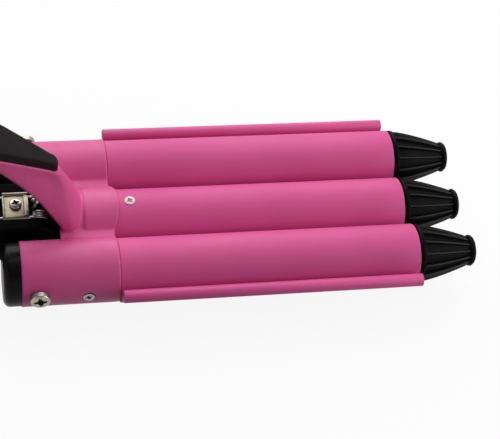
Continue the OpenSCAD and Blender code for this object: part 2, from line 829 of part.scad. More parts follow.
module handle_lower_shell() {
    at_hinge() color(black) difference() {
        union() {
            difference() {
                handle_body(0);
                handle_cavity();
            }
            intersection() {
                posts(-40, handle_z, post_r);
                handle_body(1);
            }
        }
        block(-200, 0, -40, 40, handle_z - eps, 60);
        posts(-60, 0, post_screw_r + slip);
        posts(-60, handle_z - handle_r + 5.6, 2.9);
    }
}

module handle_screws() {
    at_hinge() color(metal) for (x = post_x, s = [-1, 1])
        translate([x, s * post_y, handle_z - handle_r + 5.6]) rotate([180, 0, 0])
            pan_screw(2.7, 1.6, post_screw_r - eps, handle_r - 5.6 + 8);
}

module control_board() {
    at_hinge() color("seagreen") {
        block(-142.5, -62, -board_hw, board_hw, board_z, board_z + board_t);
        for (x = [power_x, minus_x, plus_x]) {
            block(x - 3, x + 3, -3, 3, board_z + board_t - eps, board_z + board_t + 1.3);
            zcyl(1.6, board_z + board_t, key_bottom - key_travel - 0.1, x);
        }
        block(-88, -78, -8, 8, board_z + board_t - eps, board_z + board_t + 3);
        block(-74, -67, -6, 6, board_z - 6, board_z + eps);
        ycyl(3, -9, 9, -96, board_z - 2.8);
    }
}

module display_module() {
    at_hinge() color("black") block(window_x - 6.2, window_x + 6.2, -4, 4, board_z + board_t + slip, scoop_z - 1.7);
}

module display_window() {
    at_hinge() color("dimgray") block(window_x - window_len / 2 + slip, window_x + window_len / 2 - slip,
        slip - window_w / 2, window_w / 2 - slip, scoop_z - 1.6, scoop_z + 0.4);
}

module key(len, w) {
    translate([0, 0, key_bottom]) linear_extrude(1.2) key_outline(len, w, key_flange);
    translate([0, 0, key_bottom]) linear_extrude(key_top - key_bottom - 0.5) key_outline(len, w);
    translate([0, 0, key_bottom]) linear_extrude(key_top - key_bottom) key_outline(len, w, -0.5);
}

module power_button() {
    at_hinge() color("gray") key_at(power_x) key(2 * power_r, 2 * power_r);
}

module plus_button() {
    at_hinge() color("gray") key_at(plus_x) key(key_len, key_w);
}

module minus_button() {
    at_hinge() color("gray") key_at(minus_x) key(key_len, key_w);
}

// Supply and heater wires from the board through the neck to the middle heater
module lead_bundle() {
    at_hinge() color("firebrick") for (k = [-1, 1]) {
        xcyl(0.9, -60, stub_back + 4, k * 1.6, -7.2);
        xcyl(0.9, stub_back + 4 - eps, heater_start - 0.3, k * 1.6, -6.2);
        translate([stub_back + 4, k * 1.6, -7.2]) sphere(0.9, $fn = 24);
        zcyl(0.9, -7.2, -6.2, stub_back + 4, k * 1.6);
    }
}

// ---- cord swivel -----------------------------------------------------------

module cord_swivel() {
    at_hinge() color(black) difference() {
        translate([0, 0, handle_z]) turned_x([[-cavity_back + 3.3, 0], [-cavity_back + 3.3, 9.5],
            [-cavity_back + 0.3, 9.5], [-cavity_back + 0.3, swivel_r], [-handle_back - 0.4, swivel_r],
            [-handle_back - 0.4, 9], [-handle_back - 3, 9.4], [-handle_back - 6, 8.6], [rear_x + 2, 6.6],
            [rear_x, 6], [rear_x, 0]]);
        xcyl(cord_hole_r, rear_x - 1, 0, 0, handle_z);
    }
}

wave_plate();
middle_barrel();
middle_carrier();
middle_heater();
middle_tip();
middle_barrel_screw();
jaw_spine();
spine_screws();
neck_housing();
hinge_inserts();
pivot_screws();
torsion_spring();
spring_bracket();
bracket_screw();
upper_jaw_frame();
thumb_pad();
left_barrel();
right_barrel();
left_carrier();
right_carrier();
left_heater();
right_heater();
left_tip();
right_tip();
left_end_cap();
right_end_cap();
barrel_screws();
pad_screws();
handle_upper_shell();
handle_lower_shell();
handle_screws();
control_board();
display_module();
display_window();
power_button();
plus_button();
minus_button();
lead_bundle();
cord_swivel();
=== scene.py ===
"""Looks of the triple-barrel hair waver.

Places are written in millimetres from the hinge axis: X runs to the cool tips, Y across the jaw,
Z up to the thumb lever. row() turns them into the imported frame's metres.
"""
import json
import math

import bmesh
import bpy
import numpy as np
from mathutils import Matrix, Vector
from mathutils.geometry import tessellate_polygon


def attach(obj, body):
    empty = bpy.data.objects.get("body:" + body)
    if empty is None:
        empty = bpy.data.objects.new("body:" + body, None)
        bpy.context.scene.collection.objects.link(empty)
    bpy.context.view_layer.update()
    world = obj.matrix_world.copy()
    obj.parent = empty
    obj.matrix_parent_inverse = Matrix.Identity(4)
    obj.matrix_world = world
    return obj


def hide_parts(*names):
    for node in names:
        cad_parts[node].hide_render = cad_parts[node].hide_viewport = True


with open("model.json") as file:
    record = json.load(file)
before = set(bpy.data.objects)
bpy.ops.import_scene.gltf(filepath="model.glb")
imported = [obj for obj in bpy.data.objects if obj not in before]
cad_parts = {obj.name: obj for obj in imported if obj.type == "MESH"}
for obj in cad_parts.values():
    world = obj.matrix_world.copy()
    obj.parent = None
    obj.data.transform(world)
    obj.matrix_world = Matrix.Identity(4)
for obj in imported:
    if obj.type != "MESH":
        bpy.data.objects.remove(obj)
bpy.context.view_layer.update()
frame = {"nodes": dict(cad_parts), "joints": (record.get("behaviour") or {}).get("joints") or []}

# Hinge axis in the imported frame, in millimetres
hinge = next(joint for joint in frame["joints"] if joint["name"] == "jaw_hinge")
HINGE_X, _, HINGE_Z = (1000 * v for v in hinge["pos_m"])
# Barrels: the outer ones' axes at y = +-PITCH and z = OUT_Z, the middle one's at z = MID_Z
BARREL_R, BARREL_WALL = 12.5, 1.0
PITCH, OUT_Z, MID_Z = 25.8, -2.4, -3.4
BARREL_END, MID_END = 156.6, 155.8
# Moving jaw: sleeves, the arch over the middle barrel's root, the web between them
SLEEVE_R, SLEEVE_FRONT, SLEEVE_BACK = 13.15, 32.0, 7.0
LOBE_R, LOBE_FRONT = 14.0, 34.7
WEB_Z, BRIDGE_BACK = 5.0, 10.0
# Fixed plate: inside and outside of a trough, the middle barrel's seat, the edge beads
TROUGH_R, TROUGH_OUT_R, TROUGH_OUT_Y = 12.85, 13.85, 25.6
SEAT_T = 2.2
BEAD_R, BEAD_Y, BEAD_Z = 2.64, 42.0, 1.3
# Hinge spring's bracket: its bolt's place and its top
BOLT_X, BRACKET_TOP = -7.1, 9.3
# Handle: its axis and radius, and the places of the four screws that close it
HANDLE_Z, HANDLE_R = -4.0, 17.4
FRONT_SCREWS_X, REAR_SCREWS_X = -48, -147
HANDLE_SCREW_Y, HANDLE_SCREW_Z = 9, -15.8


# ---------------------------------------------------------------------------
# Mesh helpers
# ---------------------------------------------------------------------------
MERGE = 2e-6  # metres within which points are one
ON_AXIS = 1e-6


def row(p):
    """A place in millimetres from the hinge axis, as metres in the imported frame."""
    return ((p[0] + HINGE_X) / 1000, p[1] / 1000, (p[2] + HINGE_Z) / 1000)


class Shape:
    """Points and faces in hinge millimetres."""

    def __init__(self, verts=(), faces=()):
        self.verts = [tuple(v) for v in verts]
        self.faces = [list(f) for f in faces]

    def moved(self, matrix):
        """The shape at another place; a mirrored one keeps its faces outward."""
        step = -1 if matrix.to_3x3().determinant() < 0 else 1
        return Shape([matrix @ Vector(v) for v in self.verts], [f[::step] for f in self.faces])


def joined(*shapes):
    """Several shapes as one."""
    out = Shape()
    for shape in shapes:
        start = len(out.verts)
        out.verts += shape.verts
        out.faces += [[i + start for i in f] for f in shape.faces]
    return out


def placed(name, data):
    """A new object in the scene."""
    obj = bpy.data.objects.new(name, data)
    bpy.context.scene.collection.objects.link(obj)
    return obj


def mesh_object(name, shape, edges=(), outward=True):
    """An object with a shape's mesh, its doubles merged."""
    mesh = bpy.data.meshes.new(name)
    mesh.from_pydata([row(v) for v in shape.verts], list(edges), shape.faces)
    mesh.update()
    if shape.faces:
        work = bmesh.new()
        work.from_mesh(mesh)
        bmesh.ops.remove_doubles(work, verts=work.verts, dist=MERGE)
        if outward:
            bmesh.ops.recalc_face_normals(work, faces=work.faces)
        work.to_mesh(mesh)
        work.free()
    return placed(name, mesh)


def finish_mesh(obj, finish, body, nodes, smooth_deg=35.0):
    """Sets a piece's material, shading and body, and hides the solids that it stands for."""
    mesh = obj.data
    mesh.materials.clear()
    mesh.materials.append(finish)
    for poly in mesh.polygons:
        poly.use_smooth = True
    if smooth_deg < 180:
        mesh.set_sharp_from_angle(angle=math.radians(smooth_deg))
    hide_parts(*nodes)
    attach(obj, body)


def new_piece(name, shape, finish, body, nodes, smooth_deg=35.0, outward=True):
    """A piece from a shape in hinge millimetres."""
    finish_mesh(mesh_object(name, shape, outward=outward), finish, body, nodes, smooth_deg)


def turned(profile, sides=96):
    """A turning about Z from (radius, height) pairs that end on the axis or close on themselves."""
    verts, rings = [], []
    for r, z in profile:
        count = 1 if r < ON_AXIS else sides
        rings.append(range(len(verts), len(verts) + count))
        verts += [(r * math.cos(2 * math.pi * k / count), r * math.sin(2 * math.pi * k / count), z)
                  for k in range(count)]
    pairs = list(zip(rings, rings[1:]))
    if len(rings[0]) > 1 or len(rings[-1]) > 1:
        pairs.append((rings[-1], rings[0]))
    faces = []
    for a, b in pairs:
        for k in range(sides):
            n = (k + 1) % sides
            corners = (a[k % len(a)], a[n % len(a)], b[n % len(b)], b[k % len(b)])
            faces.append(list(dict.fromkeys(corners)))
    return Shape(verts, faces)


ALONG_X = Matrix(((0, 0, 1, 0), (0, 1, 0, 0), (-1, 0, 0, 0), (0, 0, 0, 1)))
UPRIGHT = Matrix(((0, 1, 0, 0), (0, 0, 1, 0), (1, 0, 0, 0), (0, 0, 0, 1)))


def turned_x(points, y=0.0, z=0.0, sides=96):
    """A turning about a line along X, from (x, radius) pairs."""
    return turned([(r, px) for px, r in points], sides).moved(Matrix.Translation((0, y, z)) @ ALONG_X)


def round_corners(points, radius, steps=5, closed=False):
    """A line of 2D points with its corners rounded, by one radius or by one for each point."""
    out = []
    n = len(points)
    for i in range(n):
        p, before, after = (np.array(points[j], float) for j in (i, i - 1, (i + 1) % n))
        a, b = before - p, after - p
        la, lb = np.linalg.norm(a), np.linalg.norm(b)
        r = radius[i] if isinstance(radius, list) else radius
        cut = min(r, la * 0.45, lb * 0.45)
        if cut < 1e-4 or not closed and i in (0, n - 1):
            out.append(tuple(p))
            continue
        start, end = p + a / la * cut, p + b / lb * cut
        for k in range(steps + 1):
            t = k / steps
            out.append(tuple((1 - t) ** 2 * start + 2 * t * (1 - t) * p + t * t * end))
    return out


def arc(cy, cz, r, a0, a1, n):
    """Points of an arc in the YZ plane, angles in degrees."""
    angles = [math.radians(a0 + (a1 - a0) * k / n) for k in range(n + 1)]
    return [(cy + r * math.cos(a), cz + r * math.sin(a)) for a in angles]


def drawn_x(outline, x0, x1, bevel):
    """A closed YZ outline drawn out along X, its ends bevelled by shrinking along the normals."""
    pts = np.array(outline, float)
    n = len(pts)
    nxt, prv = np.roll(pts, -1, 0), np.roll(pts, 1, 0)
    tangent = nxt - prv
    tangent /= np.maximum(np.linalg.norm(tangent, axis=1), 1e-9)[:, None]
    area = 0.5 * np.sum(pts[:, 0] * nxt[:, 1] - nxt[:, 0] * pts[:, 1])
    inward = np.stack([-tangent[:, 1], tangent[:, 0]], 1) * (1 if area > 0 else -1)
    part = bevel * 0.35
    stations = ((x0, bevel), (x0 + part, part), (x0 + bevel, 0),
                (x1 - bevel, 0), (x1 - part, part), (x1, bevel))
    rings = [[(x, y, z) for y, z in pts + inward * inset] for x, inset in stations]
    faces = []
    for i in range(len(rings) - 1):
        for k in range(n):
            a, b = i * n + k, i * n + (k + 1) % n
            faces.append([a, b, b + n, a + n])
    for i, step in ((0, -1), (len(rings) - 1, 1)):
        tris = tessellate_polygon([[Vector((0, y, z)) for _, y, z in rings[i]]])
        faces += [[i * n + j for j in t[::step]] for t in tris]
    return Shape([v for ring in rings for v in ring], faces)


def drawn_z(outline, z0, z1, x, bevel):
    """An outline in plan, drawn out upwards."""
    return drawn_x(outline, z0, z1, bevel).moved(Matrix.Translation((x, 0, 0)) @ UPRIGHT)


def box(x0, x1, y0, y1, z0, z1):
    """A plain block for cutting."""
    return Shape([(x, y, z) for x in (x0, x1) for y in (y0, y1) for z in (z0, z1)],
                 [(0, 1, 3, 2), (4, 6, 7, 5), (0, 4, 5, 1), (2, 3, 7, 6), (0, 2, 6, 4), (1, 5, 7, 3)])


# ---------------------------------------------------------------------------
# Forms that flow into each other, meshed from a distance field
# ---------------------------------------------------------------------------
SLAB = 24  # grid planes worked out at a time
CORNERS = [(dx, dy, dz) for dx in (0, 1) for dy in (0, 1) for dz in (0, 1)]
CELL_EDGES = [(a, b) for a in CORNERS for b in CORNERS
              if sum(abs(a[i] - b[i]) for i in range(3)) == 1 and a < b]


def soft_max(a, b, k):
    """The larger of two fields, with the edge between them rounded by about k."""
    h = np.clip(0.5 - 0.5 * (b - a) / k, 0, 1)
    return b * (1 - h) + a * h + k * h * (1 - h)


def soft_min(a, b, k):
    """The smaller of two fields, with the hollow between them filled by about k."""
    return -soft_max(-a, -b, k)


def outside(value, low, high):
    """Distance outside a span."""
    return np.maximum(value - high, low - value)


def onto_surface(field, points, step, rounds=3):
    """Moves points onto a field's surface, along its slope."""
    e = step * 0.1
    for _ in range(rounds):
        x, y, z = points.T
        value = field(x, y, z)
        slope = np.stack([(field(x + e, y, z) - field(x - e, y, z)),
                          (field(x, y + e, z) - field(x, y - e, z)),
                          (field(x, y, z + e) - field(x, y, z - e))], 1) / (2 * e)
        size = np.maximum((slope ** 2).sum(1), 0.05)
        move = -value[:, None] * slope / size[:, None]
        length = np.linalg.norm(move, axis=1)
        move *= np.minimum(1, step * 0.45 / np.maximum(length, 1e-9))[:, None]
        points = points + move
    return points


def field_mesh(field, low, high, step):
    """The surface where field(x, y, z) is zero: a point in each crossed cell, joined to quads."""
    xs, ys, zs = (np.arange(low[i], high[i] + step, step) for i in range(3))
    grid = np.empty((len(xs), len(ys), len(zs)), np.float32)
    for i in range(0, len(xs), SLAB):
        gx, gy, gz = np.meshgrid(xs[i:i + SLAB], ys, zs, indexing="ij")
        grid[i:i + SLAB] = field(gx, gy, gz)
    inside = grid < 0
    nx, ny, nz = (n - 1 for n in grid.shape)
    count = sum(inside[dx:dx + nx, dy:dy + ny, dz:dz + nz].astype(np.int8) for dx, dy, dz in CORNERS)
    active = (count > 0) & (count < 8)
    index = -np.ones(active.shape, np.int64)
    cells = np.argwhere(active)
    index[active] = np.arange(len(cells))
    total = np.zeros((len(cells), 3))
    number = np.zeros(len(cells))
    for a, b in CELL_EDGES:
        va, vb = (grid[tuple((cells + np.array(end)).T)].astype(float) for end in (a, b))
        cross = (va < 0) != (vb < 0)
        t = np.where(cross, va / np.where(cross, va - vb, 1), 0)
        p = np.array(a)[None, :] + t[:, None] * (np.array(b) - np.array(a))[None, :]
        total += np.where(cross[:, None], p, 0)
        number += cross
    points = (cells + total / number[:, None]) * step + np.array([xs[0], ys[0], zs[0]])
    quads = []
    for axis in range(3):
        o1, o2 = [i for i in range(3) if i != axis]
        here, ahead = [slice(1, -1)] * 3, [slice(1, -1)] * 3
        here[axis], ahead[axis] = slice(0, -1), slice(1, None)
        a = inside[tuple(here)]
        base = np.argwhere(a != inside[tuple(ahead)])
        outward = a[tuple(base.T)]
        base[:, [o1, o2]] += 1
        around = []
        for d1, d2 in ((-1, -1), (0, -1), (0, 0), (-1, 0)):
            c = base.copy()
            c[:, o1] += d1
            c[:, o2] += d2
            around.append(index[tuple(c.T)])
        q = np.stack(around, 1)
        keep = outward if axis != 1 else ~outward
        q[~keep] = q[~keep][:, ::-1]
        quads.append(q)
    quads = np.concatenate(quads)
    return onto_surface(field, points, step), quads[(quads >= 0).all(1)]


def field_piece(name, field, low, high, step, finish, body, nodes):
    """A piece meshed from a distance field."""
    points, quads = field_mesh(field, low, high, step)
    mesh = bpy.data.meshes.new(name)
    scaled = (points + np.array([HINGE_X, 0, HINGE_Z])) / 1000
    mesh.vertices.add(len(scaled))
    mesh.vertices.foreach_set("co", scaled.astype(np.float32).ravel())
    mesh.loops.add(quads.size)
    mesh.loops.foreach_set("vertex_index", quads.astype(np.int32).ravel())
    mesh.polygons.add(len(quads))
    mesh.polygons.foreach_set("loop_start", np.arange(0, quads.size, 4, dtype=np.int32))
    mesh.update(calc_edges=True)
    mesh.validate()
    finish_mesh(placed(name, mesh), finish, body, nodes, 180.0)


# ---------------------------------------------------------------------------
# Node helpers, for materials and Geometry Nodes alike
# ---------------------------------------------------------------------------

def feed(tree, target, inputs):
    """Gives a node's inputs, by name or number, a value each or a link."""
    for key, value in inputs.items():
        if isinstance(value, bpy.types.NodeSocket):
            tree.links.new(value, target.inputs[key])
        else:
            target.inputs[key].default_value = value


def node(tree, kind, inputs=None, **settings):
    """A new node with its settings and inputs."""
    new = tree.nodes.new(kind)
    for key, value in settings.items():
        setattr(new, key, value)
    feed(tree, new, inputs or {})
    return new


def maths(tree, operation, a, b=0.0):
    """One step of arithmetic."""
    return node(tree, "ShaderNodeMath", {0: a, 1: b}, operation=operation).outputs[0]


# ---------------------------------------------------------------------------
# Finishes
# ---------------------------------------------------------------------------

def blank_material(name):
    """A material without nodes, and its tree."""
    mat = bpy.data.materials.new(name)
    mat.use_nodes = True
    mat.node_tree.nodes.clear()
    return mat, mat.node_tree


def principled(name, colour, roughness, inputs):
    """A principled surface for the finishes below to build on."""
    mat, tree = blank_material(name)
    skin = node(tree, "ShaderNodeBsdfPrincipled",
                {"Base Color": (*colour, 1), "Roughness": roughness, "Coat Roughness": 0.1, **inputs})
    node(tree, "ShaderNodeOutputMaterial", {"Surface": skin.outputs[0]})
    return mat, tree, skin


def noise(tree, scale, detail, stretch=None):
    """A noise in Object coordinates, coarser along the directions where stretch is under 1."""
    place = node(tree, "ShaderNodeTexCoord").outputs["Object"]
    if stretch:
        place = node(tree, "ShaderNodeMapping", {"Vector": place, "Scale": stretch}).outputs[0]
    inputs = {"Vector": place, "Scale": scale, "Detail": detail}
    return node(tree, "ShaderNodeTexNoise", inputs).outputs["Fac"]


def ramp(tree, value, low, high, low_at=0.3, high_at=0.7):
    """Two colours or greys over a value."""
    new = node(tree, "ShaderNodeValToRGB", {0: value})
    for end, place, tone in zip(new.color_ramp.elements, (low_at, high_at), (low, high)):
        end.position = place
        end.color = (*tone, 1) if isinstance(tone, tuple) else (tone, tone, tone, 1)
    return new.outputs[0]


def bump(tree, height, strength, distance, normal=None):
    """A bump from a height value, on top of another normal if given."""
    inputs = {"Height": height, "Strength": strength, "Distance": distance}
    if normal:
        inputs["Normal"] = normal
    return node(tree, "ShaderNodeBump", inputs).outputs[0]


def worn_edges(tree, radius):
    """1 along edges and 0 on faces, broken up by a noise; and the normal with its edges rounded."""
    rounded = node(tree, "ShaderNodeBevel", {"Radius": radius}, samples=6).outputs[0]
    flat = node(tree, "ShaderNodeNewGeometry").outputs["Normal"]
    dot = node(tree, "ShaderNodeVectorMath", {0: rounded, 1: flat}, operation="DOT_PRODUCT")
    spread = node(tree, "ShaderNodeMapRange",
                  {"Value": dot.outputs["Value"], "From Min": 0.98, "From Max": 0.88})
    return maths(tree, "MULTIPLY", spread.outputs[0], noise(tree, 420, 4)), rounded


def mixed(tree, factor, a, b):
    """Colour a turning into b."""
    a, b = ((*c, 1) if isinstance(c, tuple) else c for c in (a, b))
    return node(tree, "ShaderNodeMix", {"Factor": factor, 6: a, 7: b}, data_type="RGBA").outputs[2]


def scaled_colour(colour, share, lift=0.0):
    """A colour made darker or lighter."""
    return tuple(min(1.0, c * share + lift) for c in colour)


def moulded(name, colour, lighter, roughness, grain=0.12, specular=0.5, coat=0.0):
    """Moulded plastic: spark-eroded grain, slow changes of tone, edges lighter from handling."""
    mat, tree, skin = principled(name, colour, roughness,
                                 {"Coat Weight": coat, "Specular IOR Level": specular})
    worn, rounded = worn_edges(tree, 0.00025)
    tone = ramp(tree, noise(tree, 38, 2), colour, lighter)
    feed(tree, skin, {
        "Base Color": mixed(tree, worn, tone, scaled_colour(lighter, 1.3, 0.004)),
        "Roughness": ramp(tree, noise(tree, 130, 4), roughness - 0.07, roughness + 0.07),
        "Normal": bump(tree, noise(tree, 2600, 2), grain, 0.00002, rounded)})
    return mat


def sprayed(name, colour, lighter, roughness, specular):
    """A sprayed ceramic coating: a fine orange peel under a satin skin."""
    mat, tree, skin = principled(name, colour, roughness, {"Specular IOR Level": specular})
    worn, rounded = worn_edges(tree, 0.0002)
    tone = ramp(tree, noise(tree, 26, 3), colour, lighter)
    peel = bump(tree, noise(tree, 900, 2), 0.1, 0.00002, rounded)
    along = noise(tree, 90, 3, (0.25, 1, 1))
    feed(tree, skin, {
        "Base Color": mixed(tree, worn, tone, scaled_colour(lighter, 1.3, 0.03)),
        "Roughness": ramp(tree, along, roughness - 0.06, roughness + 0.06),
        "Normal": bump(tree, noise(tree, 4200, 1), 0.12, 0.000008, peel)})
    return mat


def brushed(name, colour, roughness, stretch=None):
    """Plated or drawn metal: fine drawing lines, a slight tarnish, and painted shade that darkens its
    hollows.
    """
    mat, tree, skin = principled(name, colour, roughness, {"Metallic": 1.0})
    lines = noise(tree, 900, 3, stretch)
    tone = ramp(tree, noise(tree, 260, 4), scaled_colour(colour, 0.72), colour, 0.3, 0.62)
    # Painted shade: an ambient occlusion mask turns the colour nearly black in recesses, such as the
    # screws' cross recesses.
    hollow = node(tree, "ShaderNodeAmbientOcclusion", {"Distance": 0.0012}, samples=8, only_local=True)
    unshaded_share = ramp(tree, hollow.outputs["AO"], 0.0, 1.0, 0.42, 0.82)
    feed(tree, skin, {
        "Base Color": mixed(tree, unshaded_share, scaled_colour(colour, 0.03), tone),
        "Roughness": ramp(tree, lines, roughness * 0.7, roughness * 1.35),
        "Normal": bump(tree, lines, 0.15, 0.00001)})
    return mat


pink_coating = sprayed("pink_ceramic_coating", (0.555, 0.064, 0.234), (0.595, 0.074, 0.252), 0.55, 0.32)
pink_plate = sprayed("pink_plate_coating", (0.58, 0.068, 0.24), (0.62, 0.078, 0.262), 0.5, 0.34)
pink_moulding = moulded("pink_moulding", (0.54, 0.062, 0.225), (0.58, 0.074, 0.245), 0.5, 0.06, 0.4)
# Painted shade: the neck is the housing's black plastic, given a darker, duller copy so that it reads as
# in shadow.
shaded_black_neck = moulded("shaded_black_neck", (0.0012, 0.001, 0.001), (0.0018, 0.0014, 0.0016), 0.6, specular=0.02)
black_housing = moulded("black_housing", (0.002, 0.0014, 0.0015), (0.003, 0.0022, 0.0024), 0.34,
                        specular=0.09)
# Painted shade and painted highlight: the tips' cores and ribs are one black plastic. The cores get a
# darker, duller copy so that the flutes read shaded. The ribs get a lighter, glossier copy so that they
# read lit.
shaded_black_tip = moulded("shaded_black_tip", (0.0016, 0.0013, 0.0015), (0.0024, 0.002, 0.0022), 0.5, specular=0.05)
lit_black_rib = moulded("lit_black_rib", (0.002, 0.0016, 0.0018), (0.003, 0.0024, 0.0027), 0.3, specular=0.18)
soft_black = moulded("soft_black_pad", (0.0052, 0.0022, 0.0026), (0.0066, 0.003, 0.0034), 0.6, 0.2, 0.12)
handle_black = moulded("handle_black", (0.0045, 0.0036, 0.004), (0.0065, 0.0055, 0.006), 0.48, 0.2, 0.2)
button_grey = moulded("button_grey", (0.05, 0.05, 0.053), (0.06, 0.06, 0.064), 0.4)
swivel_black = moulded("swivel_black", (0.006, 0.006, 0.006), (0.009, 0.009, 0.009), 0.6, specular=0.3)
carrier_resin = moulded("carrier_resin", (0.55, 0.48, 0.38), (0.6, 0.54, 0.44), 0.55)
board_green = moulded("board_green", (0.02, 0.10, 0.04), (0.03, 0.13, 0.05), 0.35)
window_smoke = moulded("window_smoke", (0.006, 0.006, 0.007), (0.008, 0.008, 0.009), 0.12, 0.0, coat=0.6)
lead_red = moulded("lead_red", (0.25, 0.02, 0.015), (0.3, 0.03, 0.02), 0.5)
nickel = brushed("nickel_plate", (0.38, 0.36, 0.30), 0.3)
bracket_plate = brushed("bracket_plate", (0.25, 0.215, 0.16), 0.34, (0.12, 1, 1))
zinc = brushed("zinc_plate", (0.34, 0.34, 0.33), 0.38)
spring_wire = brushed("spring_wire", (0.4, 0.38, 0.37), 0.22)
brass = brushed("insert_brass", (0.62, 0.44, 0.16), 0.3)
aluminium = brushed("heater_aluminium", (0.6, 0.6, 0.61), 0.35, (0.1, 1, 1))

CAD_FINISHES = (
    (pink_plate, "wave_plate"),
    (pink_coating, "left_barrel middle_barrel right_barrel"),
    (pink_moulding, "upper_jaw_frame"),
    (soft_black, "thumb_pad"),
    (black_housing, "neck_housing jaw_spine left_end_cap right_end_cap display_module"),
    (shaded_black_tip, "left_tip middle_tip right_tip"),
    (handle_black, "handle_upper_shell handle_lower_shell"),
    (nickel, "pivot_screws bracket_screw"),
    (zinc, "barrel_screws middle_barrel_screw pad_screws handle_screws spine_screws"),
    (bracket_plate, "spring_bracket"),
    (spring_wire, "torsion_spring"),
    (brass, "hinge_inserts"),
    (carrier_resin, "left_carrier middle_carrier right_carrier"),
    (aluminium, "left_heater middle_heater right_heater"),
    (board_green, "control_board"),
    (window_smoke, "display_window"),
    (button_grey, "power_button plus_button minus_button"),
    (lead_red, "lead_bundle"),
    (swivel_black, "cord_swivel"),
)
finish_of = {name: finish for finish, names in CAD_FINISHES for name in names.split()}
for name, obj in frame["nodes"].items():
    obj.data.materials.clear()
    obj.data.materials.append(finish_of[name])

# ---------------------------------------------------------------------------
# Barrels
# ---------------------------------------------------------------------------

def barrel(name, x0, x1, y, z, body, cad_node):
    """A tube with its front edge rolled over."""
    bore = BARREL_R - BARREL_WALL
    outline = [(x0, bore), (x0, BARREL_R - 0.15), (x0 + 0.15, BARREL_R)]
    outline += [(x0 + 0.15 + (x1 - x0 - 0.5) * k / 10, BARREL_R) for k in range(1, 10)]
    outline += [(x1 - 0.35, BARREL_R), (x1 - 0.12, BARREL_R - 0.08), (x1, BARREL_R - 0.28), (x1, bore)]
    new_piece(name, turned_x(outline, y, z, 160), pink_coating, body, (cad_node,), 40)


barrel("barrel_left_tube", SLEEVE_FRONT + 0.12, BARREL_END, PITCH, OUT_Z, "upper_jaw", "left_barrel")
barrel("barrel_right_tube", SLEEVE_FRONT + 0.12, BARREL_END, -PITCH, OUT_Z, "upper_jaw", "right_barrel")
barrel("barrel_middle_tube", 31.4, MID_END, 0, MID_Z, "handle", "middle_barrel")

# ---------------------------------------------------------------------------
# Moving jaw's moulding: sleeves, arch, arm and lever in one
# ---------------------------------------------------------------------------
# The lever rises from its tip to a bend, turns over it and falls gently to its rear end
TIP_X, TIP_Z = 9.0, 31.3
SLOPE, FALL = math.radians(33.5), math.radians(3.0)
BEND_X, BEND_R = -12.0, 52.0
BEND_Z = TIP_Z + (TIP_X - BEND_X) * math.tan(SLOPE)
BEND_CX, BEND_CZ = BEND_X - BEND_R * math.sin(SLOPE), BEND_Z - BEND_R * math.cos(SLOPE)
LEVER_T, PAD_T = 3.4, 4.39
LEVER_END, LEVER_END_R = -75.5, 11.5
LEVER_TIP_X, LEVER_TIP_R, LEVER_TIP_HALF_WIDTH = 6.5, 2.9, 2.8
LEVER_TAPER_X = -27  # where its sides start to draw in
SIDE_SLANT = 0.975  # about the cosine of their slant
ARM_WALL = 2.2
# Heights of stations up the arm, with x of its rear and front edges and its half width in front there
REAR_EDGE = ([7.2, 12.6, 17.3, 21.4, 24.9, 27, 30.9, 35.2, 39.7, 44],
             [10.6, 7.3, 4.2, 1.6, -1.0, -2.9, -5.9, -9.6, -13.4, -17.2])
FRONT_EDGE = ([0, 8, 12, 16.6, 25, 31, 45], [20.6, 20.0, 18.4, 16.4, 12.6, 9.9, 3.6])
FRONT_HALF_WIDTH = ([7, 10, 13, 17, 21, 26, 31, 45], [10.6, 9.2, 7.9, 6.4, 5.2, 4.0, 3.0, 2.8])
ARM_FOOT_Z, ARM_FOOT_HALF_WIDTH = 7, 12.0
ARCH_STEP, ARCH_STEP_X = 0.6, 20.6
ARCH_RIM_R = 26.4
# Room under the arch: wider in front of a step, for the middle barrel
ROOM_FRONT_R, ROOM_BACK_R, ROOM_STEP_X = 12.9, 12.25, 31
SLEEVE_BORE_R = 11.55
PIVOT_HOLE_R, PIVOT_HOLE_Y = 2.05, 37.0
SLEEVE_SCREW_X, SLEEVE_SEAT_R, SLEEVE_SEAT_Y = 19.3, 2.55, 38.2


def above_lever(x, z):
    """Height over the lever's top line, measured at right angles to it."""
    slope = (z - BEND_Z) * math.cos(SLOPE) + (x - BEND_X) * math.sin(SLOPE)
    bend = np.hypot(x - BEND_CX, z - BEND_CZ) - BEND_R
    level_x = BEND_CX - BEND_R * math.sin(FALL)
    level_z = BEND_CZ + BEND_R * math.cos(FALL)
    level = (z - level_z) * math.cos(FALL) - (x - level_x) * math.sin(FALL)
    along = np.arctan2(x - BEND_CX, np.maximum(z - BEND_CZ, 1e-3))
    return np.where(along > SLOPE, slope, np.where(along < -FALL, level, bend))


def lever_half_width(x):
    """Half width of the lever in plan."""
    return np.interp(x, [LEVER_TAPER_X, LEVER_TIP_X], [LEVER_END_R, LEVER_TIP_HALF_WIDTH])


def lever_plan(x, y, less):
    """Distance outside the lever's outline in plan, drawn in by less."""
    side = (np.abs(y) - (lever_half_width(x) - less)) * SIDE_SLANT
    rear_x = LEVER_END + LEVER_END_R
    rear = np.hypot(np.minimum(x - rear_x, 0), y) - (LEVER_END_R - less)
    tip = np.hypot(np.maximum(x - LEVER_TIP_X, 0), y) - (LEVER_TIP_R - less)
    return np.where(x > LEVER_TIP_X, tip, np.where(x < rear_x, rear, side))


